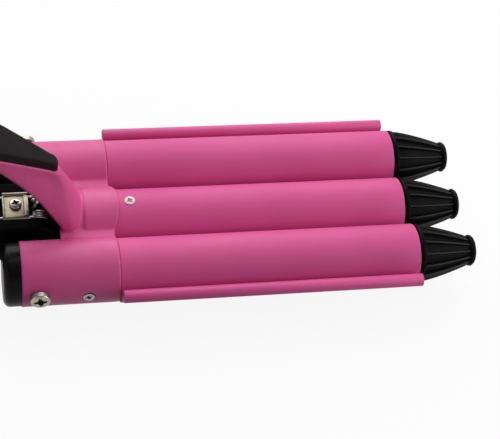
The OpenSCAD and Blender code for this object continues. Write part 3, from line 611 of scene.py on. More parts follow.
def arm_field(x, y, z, wall=0.0):
    """The arm: a broad foot, and flanks that curve in to a narrow front edge.

    With a wall it is the hollow in the arm, which is open to the rear. The factors near 0.8 make up
    for the slant of each side.
    """
    x_rear = np.interp(z, *REAR_EDGE)
    x_front = np.interp(z, *FRONT_EDGE) - wall
    lever_z = TIP_Z + (TIP_X - x) * math.tan(SLOPE)
    rise = np.clip((z - ARM_FOOT_Z) / np.maximum(lever_z - ARM_FOOT_Z, 1), 0, 1) ** 1.6
    full = ARM_FOOT_HALF_WIDTH + (np.minimum(lever_half_width(x), 9) - ARM_FOOT_HALF_WIDTH) * rise
    front = np.interp(z, *FRONT_HALF_WIDTH)
    along = np.clip((x - x_rear) / np.maximum(x_front - x_rear, 1), 0, 1.1) ** 2.6
    flank = (np.abs(y) - (np.minimum(full, full * (1 - along) + front * along) - wall)) * 0.8
    nose = (x - x_front + 0.03 * y * y) * 0.86
    rear = (x_rear - x) * 0.82
    return soft_max(soft_max(flank, nose, 0.9 if wall else 1.5), rear - 40 if wall else rear, 0.9)


def jaw_field(x, y, z):
    """The pink moulding of the moving jaw."""
    ay = np.abs(y)
    from_axis = np.hypot(ay - PITCH, z - OUT_Z)
    sleeve = soft_max(from_axis - SLEEVE_R, outside(x, -SLEEVE_BACK, SLEEVE_FRONT), 0.5)
    # the arch stands a little proud of the arm's foot
    step = ARCH_STEP * np.clip((ARCH_STEP_X - x) / 1.2, 0, 1)
    lobe = np.hypot(y, z - MID_Z) - LOBE_R + step
    web = soft_min(soft_min(z - WEB_Z, lobe, 0.5), from_axis - SLEEVE_R, 0.6)
    rim = np.minimum(np.hypot(x - (LOBE_FRONT - ARCH_RIM_R), y) - ARCH_RIM_R, x - SLEEVE_FRONT)
    web = soft_max(web, np.maximum(rim, BRIDGE_BACK - x), 0.5)
    web = np.maximum(np.maximum(web, MID_Z - z), ay - PITCH)
    over = above_lever(x, z)
    lever = soft_max(soft_max(over, -over - LEVER_T, 0.7), lever_plan(x, y, 0.15), 0.9)
    arm = np.maximum(soft_max(arm_field(x, y, z), over + 0.2, 0.4), -z)
    body = soft_min(soft_min(np.minimum(sleeve, web), arm, 0.9), lever, 1.8)
    body = soft_max(body, -np.maximum(arm_field(x, y, z, ARM_WALL), over + LEVER_T), 0.5)
    room = np.where(z > MID_Z, np.hypot(y, z - MID_Z), ay)
    room = np.where(x > ROOM_STEP_X, room - ROOM_FRONT_R,
                    np.maximum(room - ROOM_BACK_R, BRIDGE_BACK - 4 - x))
    body = soft_max(body, -room, 0.4)
    # seats of the barrels and the end caps, and the holes of the screws
    body = soft_max(body, -(from_axis - SLEEVE_BORE_R), 0.3)
    pivot_hole = np.maximum(np.hypot(x, z) - PIVOT_HOLE_R, PIVOT_HOLE_Y - ay)
    seat = np.maximum(np.hypot(x - SLEEVE_SCREW_X, z - OUT_Z) - SLEEVE_SEAT_R, SLEEVE_SEAT_Y - ay)
    return soft_max(np.maximum(body, -pivot_hole), -seat, 0.3)


def pad_field(x, y, z):
    """The thumb pad: flat at its tip and crowned behind, with rounded edges."""
    over = above_lever(x, z)
    crown = over - PAD_T + 0.004 * y * y * np.clip((-x - 5) / 30, 0, 1)
    return soft_max(soft_max(crown, 0.03 - over, 0.3), lever_plan(x, y, 0.25), 0.8)


field_piece("jaw_moulding", jaw_field, (-77, -40, -17), (37, 40, 56), 0.5, pink_moulding, "upper_jaw",
            ("upper_jaw_frame",))
field_piece("thumb_pad_skin", pad_field, (-77, -13, 28), (12, 13, 60), 0.45, soft_black, "upper_jaw",
            ("thumb_pad",))

# ---------------------------------------------------------------------------
# Geometry Nodes for what repeats or follows a path
# ---------------------------------------------------------------------------

def new_tree(name, inputs):
    """A tree with named inputs for its sizes and its finish, and those inputs' sockets in it."""
    tree = bpy.data.node_groups.new(name, "GeometryNodeTree")
    for label, kind in [("Geometry", "Geometry"), *inputs, ("Finish", "Material")]:
        tree.interface.new_socket(label, in_out="INPUT", socket_type="NodeSocket" + kind)
    tree.interface.new_socket("Geometry", in_out="OUTPUT", socket_type="NodeSocketGeometry")
    return tree, tree.nodes.new("NodeGroupInput").outputs


def end_tree(tree, entry, geometry):
    """Realizes the instances and sets the finish."""
    real = node(tree, "GeometryNodeRealizeInstances", {0: geometry})
    finished = node(tree, "GeometryNodeSetMaterial",
                    {"Geometry": real.outputs[0], "Material": entry["Finish"]})
    node(tree, "NodeGroupOutput", {0: finished.outputs[0]})
    return tree


def copies(tree, entry):
    """The piece that comes in, as Count instances, and each one's number."""
    one = node(tree, "GeometryNodeGeometryToInstance", {0: entry["Geometry"]})
    many = node(tree, "GeometryNodeDuplicateElements",
                {"Geometry": one.outputs[0], "Amount": entry["Count"]}, domain="INSTANCE")
    return many.outputs["Geometry"], many.outputs["Duplicate Index"]


def ring_tree():
    """Copies of a piece, evenly spaced round an axis."""
    tree, entry = new_tree("evenly_round_an_axis",
                           [("Count", "Int"), ("Centre", "Vector"), ("Axis", "Vector")])
    many, number = copies(tree, entry)
    angle = maths(tree, "MULTIPLY", maths(tree, "DIVIDE", number, entry["Count"]), 2 * math.pi)
    spin = node(tree, "FunctionNodeAxisAngleToRotation", {"Axis": entry["Axis"], "Angle": angle})
    around = node(tree, "GeometryNodeRotateInstances", {
        "Instances": many, "Rotation": spin.outputs[0], "Pivot Point": entry["Centre"],
        "Local Space": False})
    return end_tree(tree, entry, around.outputs[0])


def grid_tree():
    """Copies of a piece in rows: some along X, the next row a step across."""
    tree, entry = new_tree("in_rows", [("Count", "Int"), ("Along", "Int"), ("Step Along", "Float"),
                                       ("Step Across", "Float")])
    many, number = copies(tree, entry)
    column = maths(tree, "MODULO", number, entry["Along"])
    line = maths(tree, "FLOOR", maths(tree, "DIVIDE", number, entry["Along"]))
    place = node(tree, "ShaderNodeCombineXYZ", {
        "X": maths(tree, "MULTIPLY", column, entry["Step Along"]),
        "Y": maths(tree, "MULTIPLY", line, entry["Step Across"])})
    spread = node(tree, "GeometryNodeTranslateInstances", {
        "Instances": many, "Translation": place.outputs[0], "Local Space": False})
    return end_tree(tree, entry, spread.outputs[0])


def wire_tree():
    """A round wire along the edges that come in."""
    tree, entry = new_tree("wire_along_a_path", [("Wire Radius", "Float"), ("Sides", "Int")])
    path = node(tree, "GeometryNodeMeshToCurve", {"Mesh": entry["Geometry"]})
    ring = node(tree, "GeometryNodeCurvePrimitiveCircle",
                {"Radius": entry["Wire Radius"], "Resolution": entry["Sides"]})
    sweep = node(tree, "GeometryNodeCurveToMesh", {
        "Curve": path.outputs[0], "Profile Curve": ring.outputs[0], "Fill Caps": True})
    return end_tree(tree, entry, sweep.outputs[0])


round_an_axis = ring_tree()
in_rows = grid_tree()
wire_along = wire_tree()


def discard(obj):
    """Removes an object and its mesh."""
    mesh = obj.data
    bpy.data.objects.remove(obj)
    bpy.data.meshes.remove(mesh)


def settled(name, obj):
    """The result of an object's modifiers as a new plain object; the old one goes."""
    view = bpy.context.evaluated_depsgraph_get()
    mesh = bpy.data.meshes.new_from_object(obj.evaluated_get(view))
    obj.modifiers.clear()
    discard(obj)
    return placed(name, mesh)


def grown(name, shape, tree, values, finish, body, nodes, smooth_deg=35.0, edges=()):
    """A piece that a tree makes from a shape in hinge millimetres."""
    obj = mesh_object(name + "_start", shape, edges)
    build = obj.modifiers.new("build", "NODES")
    build.node_group = tree
    for item in tree.interface.items_tree:
        if item.in_out == "INPUT" and item.name in values:
            build[item.identifier] = values[item.name]
        if item.in_out == "INPUT" and item.name == "Finish":
            build[item.identifier] = finish
    finish_mesh(settled(name, obj), finish, body, nodes, smooth_deg)


def carved(name, shape, cutters, bevel, finish, body, nodes, smooth_deg=35.0):
    """A piece from which other shapes are cut, its sharp edges broken when a bevel is given."""
    obj = mesh_object(name + "_start", shape)
    tools = [mesh_object(f"{name}_cutter_{i}", cutter) for i, cutter in enumerate(cutters)]
    for tool in tools:
        cut = obj.modifiers.new("cut", "BOOLEAN")
        cut.operation = "DIFFERENCE"
        cut.solver = "EXACT"
        cut.object = tool
    if bevel:
        edge = obj.modifiers.new("edge", "BEVEL")
        edge.width = bevel / 1000
        edge.segments = 2
        edge.limit_method = "ANGLE"
        edge.angle_limit = math.radians(48)
    new = settled(name, obj)
    for tool in tools:
        discard(tool)
    finish_mesh(new, finish, body, nodes, smooth_deg)


# ---------------------------------------------------------------------------
# Screws and the inserts of the pivot's
# ---------------------------------------------------------------------------
FACING_Y = Matrix.Rotation(math.radians(-90), 4, "X")
FACING_DOWN = Matrix.Rotation(math.pi, 4, "X")


def cross_recess(x, y, z, top, reach, width, depth):
    """A driver's cross: arms that narrow outwards and with depth, and a wider middle."""
    narrow = 1 - 0.2 * np.clip((top - z) / depth, 0, 1)
    ax, ay = np.abs(x), np.abs(y)
    arms = np.minimum(*(np.maximum(along - reach * narrow,
                                   across - width * narrow * (0.85 - 0.55 * along / reach))
                        for along, across in ((ax, ay), (ay, ax))))
    return np.maximum(np.minimum(arms, np.hypot(x, y) - width * narrow), top - depth - z)


def screw(head_r, shank_r, length, head_h=0.0, dome=0.3, step=0.1):
    """A screw along Z, its seat at 0, its head up; without a head_h it is countersunk."""
    cone_h = head_r - shank_r

    def pan(x, y, z):
        """A domed head on its seat."""
        r = np.hypot(x, y)
        body = soft_max(r - head_r, z - head_h * (1 - dome * (r / head_r) ** 2), 0.16 * head_r)
        body = soft_max(body, -z, 0.15)
        recess = cross_recess(x, y, z, head_h, head_r * 0.68, head_r * 0.38, head_h * 0.88)
        return soft_max(body, -recess, 0.1)

    def countersunk(x, y, z):
        """A cone with a flat top, level with its seat."""
        r = np.hypot(x, y)
        body = soft_max((r - head_r - z - 0.1) * 0.71, z - 0.06 * (1 - (r / head_r) ** 2), 0.12)
        body = np.maximum(body, -z - head_r + shank_r)
        recess = cross_recess(x, y, z, 0, head_r * 0.6, head_r * 0.36, cone_h * 0.8)
        return soft_max(body, -recess, 0.06)

    field, bottom, top = (pan, 0.0, head_h) if head_h else (countersunk, -cone_h, 0.2)
    side = head_r + 0.4
    head = Shape(*field_mesh(field, (-side, -side, bottom - 0.4), (side, side, top + 0.4), step))
    start = bottom + 0.1
    shank = turned([(0, -length), (shank_r * 0.45, -length), (shank_r, 1.2 - length),
                    (shank_r, start), (0, start)], 24)
    return joined(head, shank)


def both_sides(name, shape, x, finish, body, nodes):
    """A piece and its copy half a turn round the upright line at x."""
    grown(name, shape, round_an_axis, {"Count": 2, "Centre": row((x, 0, 0)), "Axis": (0.0, 0.0, 1.0)},
          finish, body, nodes)


def at(x, y, z, turn, twist=0.0):
    """Puts a screw's seat at a place, turned, after a twist about its own axis in degrees."""
    return Matrix.Translation((x, y, z)) @ turn @ Matrix.Rotation(math.radians(twist), 4, "Z")


pivot = screw(head_r=3.95, shank_r=1.98, length=32.7, head_h=2.6, dome=0.1, step=0.14)
both_sides("pivot_screw_pair", pivot.moved(at(0, 39.25, 0, FACING_Y, 8)), 0, nickel, "handle",
           ("pivot_screws",))
small = screw(head_r=2.3, shank_r=1.15, length=8.4)
both_sides("sleeve_screw_pair", small.moved(at(SLEEVE_SCREW_X, 38.93, OUT_Z, FACING_Y, 20)),
           SLEEVE_SCREW_X, zinc, "upper_jaw", ("barrel_screws",))
crest = screw(head_r=2.1, shank_r=1.15, length=6.9)
crest_place = Matrix.Translation((39.2, 0, MID_Z + BARREL_R + 0.16)) @ Matrix.Rotation(0.5, 4, "Z")
new_piece("crest_screw", crest.moved(crest_place), zinc, "handle", ("middle_barrel_screw",),
          outward=False)
bolt = screw(head_r=2.5, shank_r=1.22, length=8.9, head_h=1.8)
bolt_place = Matrix.Translation((BOLT_X, 0, BRACKET_TOP)) @ Matrix.Rotation(0.35, 4, "Z")
new_piece("bracket_bolt", bolt.moved(bolt_place), nickel, "handle", ("bracket_screw",),
          outward=False)
closing = screw(head_r=2.7, shank_r=1.48, length=19.7, head_h=1.6, step=0.13)
grown("handle_screw_set",
      closing.moved(at(REAR_SCREWS_X, -HANDLE_SCREW_Y, HANDLE_SCREW_Z, FACING_DOWN)), in_rows,
      {"Count": 4, "Along": 2, "Step Along": (FRONT_SCREWS_X - REAR_SCREWS_X) / 1000,
       "Step Across": 2 * HANDLE_SCREW_Y / 1000},
      zinc, "handle", ("handle_screws",))

INSERT_OUTLINE = [(2.02, 6.14), (3.17, 6.14), (3.17, 8.2), (2.95, 8.3), (2.95, 8.6), (3.17, 8.7),
                  (3.17, 9.4), (2.02, 9.4)]
insert = turned(round_corners(INSERT_OUTLINE, 0.12, 2, closed=True), 48)
both_sides("insert_pair", insert.moved(FACING_Y), 0, brass, "handle", ("hinge_inserts",))

# ---------------------------------------------------------------------------
# Cool tips
# ---------------------------------------------------------------------------
COLLAR_R, LIP_R = 12.45, 6.6
CONE_START, CONE_END, TIP_LEN = 2.6, 23.5, 26.9
RIBS = 14
RIB_SECTION = ((0.5, -0.5), (0.36, -0.16), (0.13, 0.0))  # half width, height against the crest
RIB_ROOT = (0.62, -2.2)


def rib_top(x):
    """Radius of a rib's crest at a place along the cone."""
    drop = COLLAR_R - 0.35 - (LIP_R - 0.25)
    return COLLAR_R - 0.35 - drop * ((x - CONE_START) / (CONE_END - CONE_START)) ** 1.3


def tip_core():
    """A tip without its ribs: spigot, collar, hollowed cone, lip and rounded end."""
    cone = [(CONE_START + (CONE_END - CONE_START) * k / 8, 0.5 * (k / 8) ** 2 - 1.55)
            for k in range(1, 8)]
    outline = [(-13, 0), (-13, 10.4), (-12, 11.42), (0, 11.42), (0, 10.45), (0.5, 10.45),
               (0.5, COLLAR_R - 0.4), (0.9, COLLAR_R), (CONE_START - 0.35, COLLAR_R),
               (CONE_START + 0.1, rib_top(CONE_START) - 1.6)]
    outline += [(x, rib_top(x) + less) for x, less in cone]
    outline += [(CONE_END + 0.2, LIP_R - 1.25), (CONE_END + 0.8, LIP_R - 0.1), (CONE_END + 1.5, LIP_R),
                (TIP_LEN - 1.6, LIP_R - 0.02), (TIP_LEN - 0.6, LIP_R - 0.75),
                (TIP_LEN - 0.1, LIP_R - 2.2), (TIP_LEN, LIP_R - 3.6), (TIP_LEN, 0)]
    return turned_x(round_corners(outline, 0.35, 3), sides=112)


def tip_rib():
    """One rib along the cone, its crest rounded and its front end drawn in."""
    half = (RIB_ROOT, *RIB_SECTION)
    section = [(-w, low) for w, low in half] + list(reversed(half))
    n, last = len(section), 10
    verts = []
    for k in range(last + 1):
        x = CONE_START - 0.1 + (CONE_END + 0.5 - CONE_START) * k / last
        top = rib_top(min(max(x, CONE_START), CONE_END)) - (0.3 if k == last else 0.0)
        verts += [(x, w * (1.0 - 0.22 * k / last), top + low) for w, low in section]
    faces = [[k * n + j, k * n + (j + 1) % n, (k + 1) * n + (j + 1) % n, (k + 1) * n + j]
             for k in range(last) for j in range(n)]
    return Shape(verts, faces + [range(n), range(last * n, last * n + n)[::-1]])


def cool_tip(name, x, y, z, body, cad_node):
    """A tip's core and its ribs."""
    place = Matrix.Translation((x, y, z))
    new_piece(name + "_core", tip_core().moved(place), shaded_black_tip, body, (cad_node,), 32)
    half_step = Matrix.Rotation(math.pi / RIBS, 4, "X")
    grown(name + "_ribs", tip_rib().moved(place @ half_step), round_an_axis,
          {"Count": RIBS, "Centre": row((x, y, z)), "Axis": (1.0, 0.0, 0.0)}, lit_black_rib, body,
          (cad_node,), 50)


cool_tip("tip_left", BARREL_END, PITCH, OUT_Z, "upper_jaw", "left_tip")
cool_tip("tip_right", BARREL_END, -PITCH, OUT_Z, "upper_jaw", "right_tip")
cool_tip("tip_middle", MID_END, 0, MID_Z, "handle", "middle_tip")

# ---------------------------------------------------------------------------
# End caps behind the sleeves
# ---------------------------------------------------------------------------
CAP_OUTLINE = [(-14.0, 0), (-14.0, 9.6), (-13.9, 10.6), (-13.5, 11.5), (-12.9, 12.25), (-12.1, 12.68),
               (-11.2, 12.8), (-7.05, 12.8), (-7.05, 11.4), (-4.8, 11.4), (-4.8, 0)]
for y, side in ((PITCH, "left"), (-PITCH, "right")):
    new_piece("cap_" + side, turned_x(CAP_OUTLINE, y, OUT_Z, 128), black_housing, "upper_jaw",
              (side + "_end_cap",), 40)

# ---------------------------------------------------------------------------
# Fixed jaw's plate: two troughs and a seat, a bead along each long edge
# ---------------------------------------------------------------------------

def crossing(c0, r0, c1, r1):
    """The lower crossing of two circles, as angles seen from each centre."""
    dy, dz = c1[0] - c0[0], c1[1] - c0[1]
    d = math.hypot(dy, dz)
    along = (r0 * r0 - r1 * r1 + d * d) / (2 * d)
    off = math.sqrt(r0 * r0 - along * along)
    y, z = c0[0] + (along * dy + off * dz) / d, c0[1] + (along * dz - off * dy) / d
    return [math.degrees(math.atan2(z - c[1], y - c[0])) for c in (c0, c1)]


def plate_outline():
    """The W-shaped section: seat, rounded crest, trough, and an edge that turns out to its bead."""
    seat, trough, outside = (0, MID_Z), (PITCH, OUT_Z), (TROUGH_OUT_Y, OUT_Z)
    seat_r = BARREL_R + 0.05
    crest_z = MID_Z - 4
    from_seat = math.degrees(math.asin((crest_z - MID_Z) / seat_r))
    from_trough = -180 - math.degrees(math.asin((crest_z - OUT_Z) / TROUGH_R))
    right = arc(*seat, seat_r, -90, from_seat - 2.2, 20)
    right += [(seat_r * math.cos(math.radians(from_seat)) + 0.3, crest_z),
              (PITCH + TROUGH_R * math.cos(math.radians(from_trough)) - 0.3, crest_z)]
    right += arc(*trough, TROUGH_R, from_trough + 2.2, -3, 44)
    right += arc(BEAD_Y, BEAD_Z, BEAD_R, 168, -118, 30)
    at_seat, at_trough = crossing(seat, seat_r + SEAT_T, outside, TROUGH_OUT_R)
    right += arc(*outside, TROUGH_OUT_R, -3.5, at_trough % 360 - 360 + 0.6, 44)
    right += arc(*seat, seat_r + SEAT_T, at_seat - 0.6, -90, 16)
    left = [(-y, z) for y, z in reversed(right)]
    return right[:-1] + left[:-1]


new_piece("plate_shell", drawn_x(plate_outline(), 32.6, 156.4, 0.3), pink_plate, "handle",
          ("wave_plate",), 32)

# ---------------------------------------------------------------------------
# Neck, hinge spring and its bracket
# ---------------------------------------------------------------------------
NECK_HALF_WIDTH, NECK_LOW, HUB_R = 12.1, -11.5, 8.8
WAIST_BACK, BED_BACK, BED_FRONT = -18, -0.5, 9.4
SHOULDER_BACK, SHOULDER_FRONT, SHOULDER_HALF_WIDTH = -23.9, -12, 16.5
SHOULDER_MID, SHOULDER_HALF_HEIGHT = -1.35, 10.15
SHOULDER_LOW_R, SHOULDER_TOP_R, SHOULDER_SPLIT_Z = 8.5, 3.0, -3
SWEEP_R = 17.3  # room in the shoulders for the end caps' corners
CRADLE_R, CRADLE_LOW, CRADLE_FRONT = 11.9, -17.15, 31
TENON_R, TENON_BACK, TENON_FRONT = 14.75, -39.9, -23
# The spring's channel on top, the well for its coils and the studs that the coils turn on
CHANNEL_HALF_WIDTH, CHANNEL_FLOOR, CHANNEL_FRONT = 7, 6.5, 16
WELL_HALF_WIDTH, WELL_FLOOR, WELL_BACK, WELL_FRONT = 6, -3.4, -4.3, 8.1
COIL_X, COIL_Z, COIL_R = 1.8, 2.9, 4.7
STUD_R, STUD_START, STUD_END = 3.3, 1.1, 6.2
BOSS_R, BOSS_FOOT, BOSS_TOP = 2.6, 6, 8.45
# Bores for the middle barrel's root, the brass inserts and the leads
ROOT_BORE_R, ROOT_BORE_X = 10.5, 13.5
INSERT_BORE_R, INSERT_BORE_Y = 3.25, 6.1
LEAD_BORE_R, LEAD_BORE_Z, LEAD_BORE_X = 3, -7.2, 14.5


def neck_field(x, y, z):
    """The fixed neck: shoulders behind, a narrow waist at the hinge, a cradle under the arch."""
    ay = np.abs(y)
    beside = ay - NECK_HALF_WIDTH
    edge_r = np.where(z < SHOULDER_SPLIT_Z, SHOULDER_LOW_R, SHOULDER_TOP_R)
    qy = ay - (SHOULDER_HALF_WIDTH - edge_r)
    qz = np.abs(z - SHOULDER_MID) - (SHOULDER_HALF_HEIGHT - edge_r)
    wide = np.hypot(np.maximum(qy, 0), np.maximum(qz, 0)) + np.minimum(np.maximum(qy, qz), 0) - edge_r
    wide = soft_max(wide, outside(x, SHOULDER_BACK, SHOULDER_FRONT), 0.9)
    sweep = np.where(ay > NECK_HALF_WIDTH, np.minimum(SWEEP_R - np.hypot(x, z), 30), -30)
    wide = soft_max(wide, sweep, 0.4)
    hub = soft_max(np.hypot(x, z) - HUB_R, beside, 0.9)
    waist = soft_max(np.maximum(outside(x, WAIST_BACK, 0), beside), outside(z, NECK_LOW, HUB_R), 0.9)
    bed = soft_max(outside(x, BED_BACK, BED_FRONT), np.maximum(outside(z, NECK_LOW, 0), beside), 0.9)
    cradle = np.where(z > MID_Z, np.hypot(y, z - MID_Z), ay) - CRADLE_R
    cradle = soft_max(np.maximum(cradle, CRADLE_LOW - z), outside(x, HUB_R, CRADLE_FRONT), 0.6)
    tenon = np.maximum(np.hypot(y, z - HANDLE_Z) - TENON_R, outside(x, TENON_BACK, TENON_FRONT))
    body = np.minimum(np.minimum(np.minimum(wide, hub), np.minimum(waist, bed)),
                      np.minimum(cradle, tenon))
    channel = np.maximum(np.maximum(ay - CHANNEL_HALF_WIDTH, CHANNEL_FLOOR - z), x - CHANNEL_FRONT)
    well = np.maximum(np.maximum(outside(x, WELL_BACK, WELL_FRONT), ay - WELL_HALF_WIDTH),
                      WELL_FLOOR - z)
    body = soft_max(soft_max(body, -channel, 0.5), -well, 0.5)
    root_bore = np.maximum(np.hypot(y, z - MID_Z) - ROOT_BORE_R, ROOT_BORE_X - x)
    insert_bore = np.maximum(np.hypot(x, z) - INSERT_BORE_R, INSERT_BORE_Y - ay)
    lead_bore = np.maximum(np.hypot(y, z - LEAD_BORE_Z) - LEAD_BORE_R, x - LEAD_BORE_X)
    for bore in (root_bore, insert_bore, lead_bore):
        body = np.maximum(body, -bore)
    stud = np.maximum(np.hypot(x - COIL_X, z - COIL_Z) - STUD_R, outside(ay, STUD_START, STUD_END))
    boss = np.maximum(np.hypot(x - BOLT_X, y) - BOSS_R, outside(z, BOSS_FOOT, BOSS_TOP))
    return np.minimum(body, np.minimum(stud, boss))


field_piece("neck_moulding", neck_field, (-41, -17.4, -19.5), (32, 17.4, 11.5), 0.5, shaded_black_neck,
            "handle", ("neck_housing",))

# Outlines across the tool: the folded sheet, then the raised lips at its ends; the roll is an arc
SHEET = round_corners([(-6.8, 6.55), (-6.8, BRACKET_TOP), (6.8, BRACKET_TOP), (6.8, 6.55),
                       (6.05, 6.55), (6.05, 8.5), (-6.05, 8.5), (-6.05, 6.55)],
                      [0.16, 1.7, 1.7, 0.16, 0.16, 0.8, 0.8, 0.16], 8, closed=True)
FRONT_LIP = round_corners([(-5.5, 8.9), (4.9, 8.9), (4.9, 9.62), (-5.5, 9.62)], 0.2, 3, closed=True)
REAR_LIP = round_corners([(-6.1, 8.4), (4.9, 8.4), (4.9, 9.7), (-6.1, 9.7)], 0.25, 3, closed=True)
bracket = joined(drawn_x(SHEET, -12.3, -1.8, 0.12),
                 drawn_x(arc(5.55, 9.35, 0.85, 0, 345, 23), -12.25, -1.85, 0.2),
                 drawn_x(FRONT_LIP, -3.9, -1.85, 0.25), drawn_x(REAR_LIP, -12.35, -11.6, 0.15))
new_piece("bracket_sheet", bracket, bracket_plate, "handle", ("spring_bracket",), 40)


def spring_path():
    """Centre line of the double spring: rear leg, coil, loop at the front, coil, rear leg."""
    outer_y, inner_y, leg, loop_r = 5.2, 1.25, 7.5, 1.25
    turned_by, steps = 1020, 204
    half = [(-21.0 + 22.8 * k / 12, outer_y, COIL_Z + COIL_R) for k in range(12)]
    for k in range(steps + 1):
        a = math.radians(90 - turned_by * k / steps)
        y = outer_y - (outer_y - inner_y) * k / steps
        half.append((COIL_X + COIL_R * math.cos(a), y, COIL_Z + COIL_R * math.sin(a)))
    end = math.radians(90 - turned_by)
    (x0, _, z0), go_x, go_z = half[-1], math.sin(end), -math.cos(end)
    half += [(x0 + go_x * leg * k / 8, inner_y, z0 + go_z * leg * k / 8) for k in range(1, 8)]
    for k in range(9):
        b = math.pi / 2 * k / 8
        reach = leg + loop_r * math.sin(b)
        half.append((x0 + go_x * reach, inner_y * math.cos(b), z0 + go_z * reach))
    return half + [(x, -y, z) for x, y, z in reversed(half[:-1])]


path = Shape(spring_path())
grown("hinge_spring", path, wire_along, {"Wire Radius": 0.00064, "Sides": 18}, spring_wire, "handle",
      ("torsion_spring",), 60, edges=[(i, i + 1) for i in range(len(path.verts) - 1)])

# ---------------------------------------------------------------------------
# Handle: two half shells, the controls and the cord's swivel
# ---------------------------------------------------------------------------
HANDLE_WALL = 2.3
HANDLE_FRONT, HANDLE_BACK = 24, 166
TENON_SEAT_R, TENON_SEAT_END = 14.8, 40.2
SWIVEL_BORE_R, SWIVEL_BORE_START = 7.6, 159.2
# Distances behind the hinge axis, and the share of HANDLE_R there
HANDLE_LINE = ([24, 26.5, 45, 80, 115, 140, 155, 163, 166],
               [0.925, 0.955, 0.97, 0.985, 1, 0.975, 0.92, 0.82, 0.7])
SCOOP_X, SCOOP_Z, SCOOP_R = -121, 12.2, 260
# Heights of the keys' flanges, their stems and the marks cut in them
FLANGE_LOW, FLANGE_TOP, STEM_FOOT, KEY_TOP = 8.1, 9.3, 9.2, 13.5
MARK_FLOOR, ABOVE_KEYS = 13.3, 14
WINDOW_X, PANE_LOW, PANE_TOP = -101, 10.6, 12.55
# Names of the piece and the node, x, length and width
KEYS = (("power_key", "power_button", -139.0, 8.0, 8.0), ("minus_key", "minus_button", -126.0, 9.0, 6.4),
        ("plus_key", "plus_button", -114.5, 9.0, 6.4))


def handle_radius(back):
    """Outside radius at a distance behind the hinge axis, without corners between the stations."""
    xs, ys = (np.array(v, float) for v in HANDLE_LINE)
    slopes = np.diff(ys) / np.diff(xs)
    before, after = slopes[:-1], slopes[1:]
    inner = np.where(after * before > 0, 2 * after * before
                     / np.where(after + before == 0, 1, after + before), 0)
    tangent = np.concatenate([[slopes[0]], inner, [slopes[-1]]])
    i = int(np.clip(np.searchsorted(xs, back) - 1, 0, len(xs) - 2))
    h = xs[i + 1] - xs[i]
    t = (back - xs[i]) / h
    return HANDLE_R * ((1 + 2 * t) * (1 - t) ** 2 * ys[i] + t * (1 - t) ** 2 * h * tangent[i]
                       + t * t * (3 - 2 * t) * ys[i + 1] + t * t * (t - 1) * h * tangent[i + 1])


def handle_tube():
    """The handle's wall, closed behind round the swivel's bore and stepped for the neck in front."""
    front_edge, rear_edge = (24.6, 25.4, 26.5), (157.5, 160, 161.5, 163, 164.2, 165.2)
    outer = [(-b, handle_radius(b))
             for b in (HANDLE_FRONT, *front_edge, *range(30, 156, 5), *rear_edge, HANDLE_BACK)]
    inner = [(-HANDLE_BACK, SWIVEL_BORE_R), (-SWIVEL_BORE_START, SWIVEL_BORE_R)]
    inner += [(-b, handle_radius(b) - HANDLE_WALL) for b in (159, 150, 140, 120, 100, 80, 60, 45, 40.3)]
    inner += [(-TENON_SEAT_END, TENON_SEAT_R), (-HANDLE_FRONT, TENON_SEAT_R)]
    return turned_x(outer + inner, z=HANDLE_Z, sides=128)


def key_outline(length, width, grow=0.0):
    """A button's outline in plan, a round one or one with round ends."""
    r, half = width / 2 + grow, (length - width) / 2
    return arc(half, 0, r, -90, 90, 20) + arc(-half, 0, r, 90, 270, 20)


scoop = turned([(0, -30), (SCOOP_R, -30), (SCOOP_R, 30), (0, 30)], 512).moved(
    Matrix.Translation((SCOOP_X, 0, SCOOP_Z + SCOOP_R)) @ Matrix.Rotation(math.pi / 2, 4, "X"))
wells = [drawn_z(key_outline(length, width, 0.25), 0, 30, x, 0.001) for _, _, x, length, width in KEYS]
window_well = box(WINDOW_X - 6.5, WINDOW_X + 6.5, -4.3, 4.3, 0, 30)
lower_half, upper_half = box(-200, 0, -40, 40, -60, HANDLE_Z), box(-200, 0, -40, 40, HANDLE_Z, 60)
counterbore = turned([(0, -60), (2.9, -60), (2.9, HANDLE_SCREW_Z), (1.55, HANDLE_SCREW_Z + 0.1),
                      (1.55, 0), (0, 0)], 40)
counterbores = [counterbore.moved(Matrix.Translation((x, y, 0)))
                for x in (FRONT_SCREWS_X, REAR_SCREWS_X) for y in (-HANDLE_SCREW_Y, HANDLE_SCREW_Y)]
for name, cutters, cad_node in (
        ("handle_top", [lower_half, scoop, window_well] + wells, "handle_upper_shell"),
        ("handle_bottom", [upper_half] + counterbores, "handle_lower_shell")):
    carved(name, handle_tube(), cutters, 0.22, handle_black, "handle", (cad_node,), 30)

for name, cad_node, x, length, width in KEYS:
    flange = drawn_z(key_outline(length, width, 1.0), FLANGE_LOW, FLANGE_TOP, x, 0.2)
    stem = drawn_z(key_outline(length, width), STEM_FOOT, KEY_TOP, x, 0.55)
    if cad_node == "power_button":
        ring = turned([(1.35, MARK_FLOOR), (1.85, MARK_FLOOR),
                       (1.85, ABOVE_KEYS), (1.35, ABOVE_KEYS)], 40)
        marks = [ring.moved(Matrix.Translation((x, 0, 0))),
                 box(x - 0.25, x + 2.2, -0.25, 0.25, MARK_FLOOR, ABOVE_KEYS)]
    else:
        marks = [box(x - 0.3, x + 0.3, -1.5, 1.5, MARK_FLOOR, ABOVE_KEYS)]
        if cad_node == "plus_button":
            marks.append(box(x - 1.5, x + 1.5, -0.3, 0.3, MARK_FLOOR, ABOVE_KEYS))
    carved(name, stem, marks, 0, button_grey, cad_node, (cad_node,), 40)
    new_piece(name + "_flange", flange, button_grey, cad_node, (cad_node,), 40)

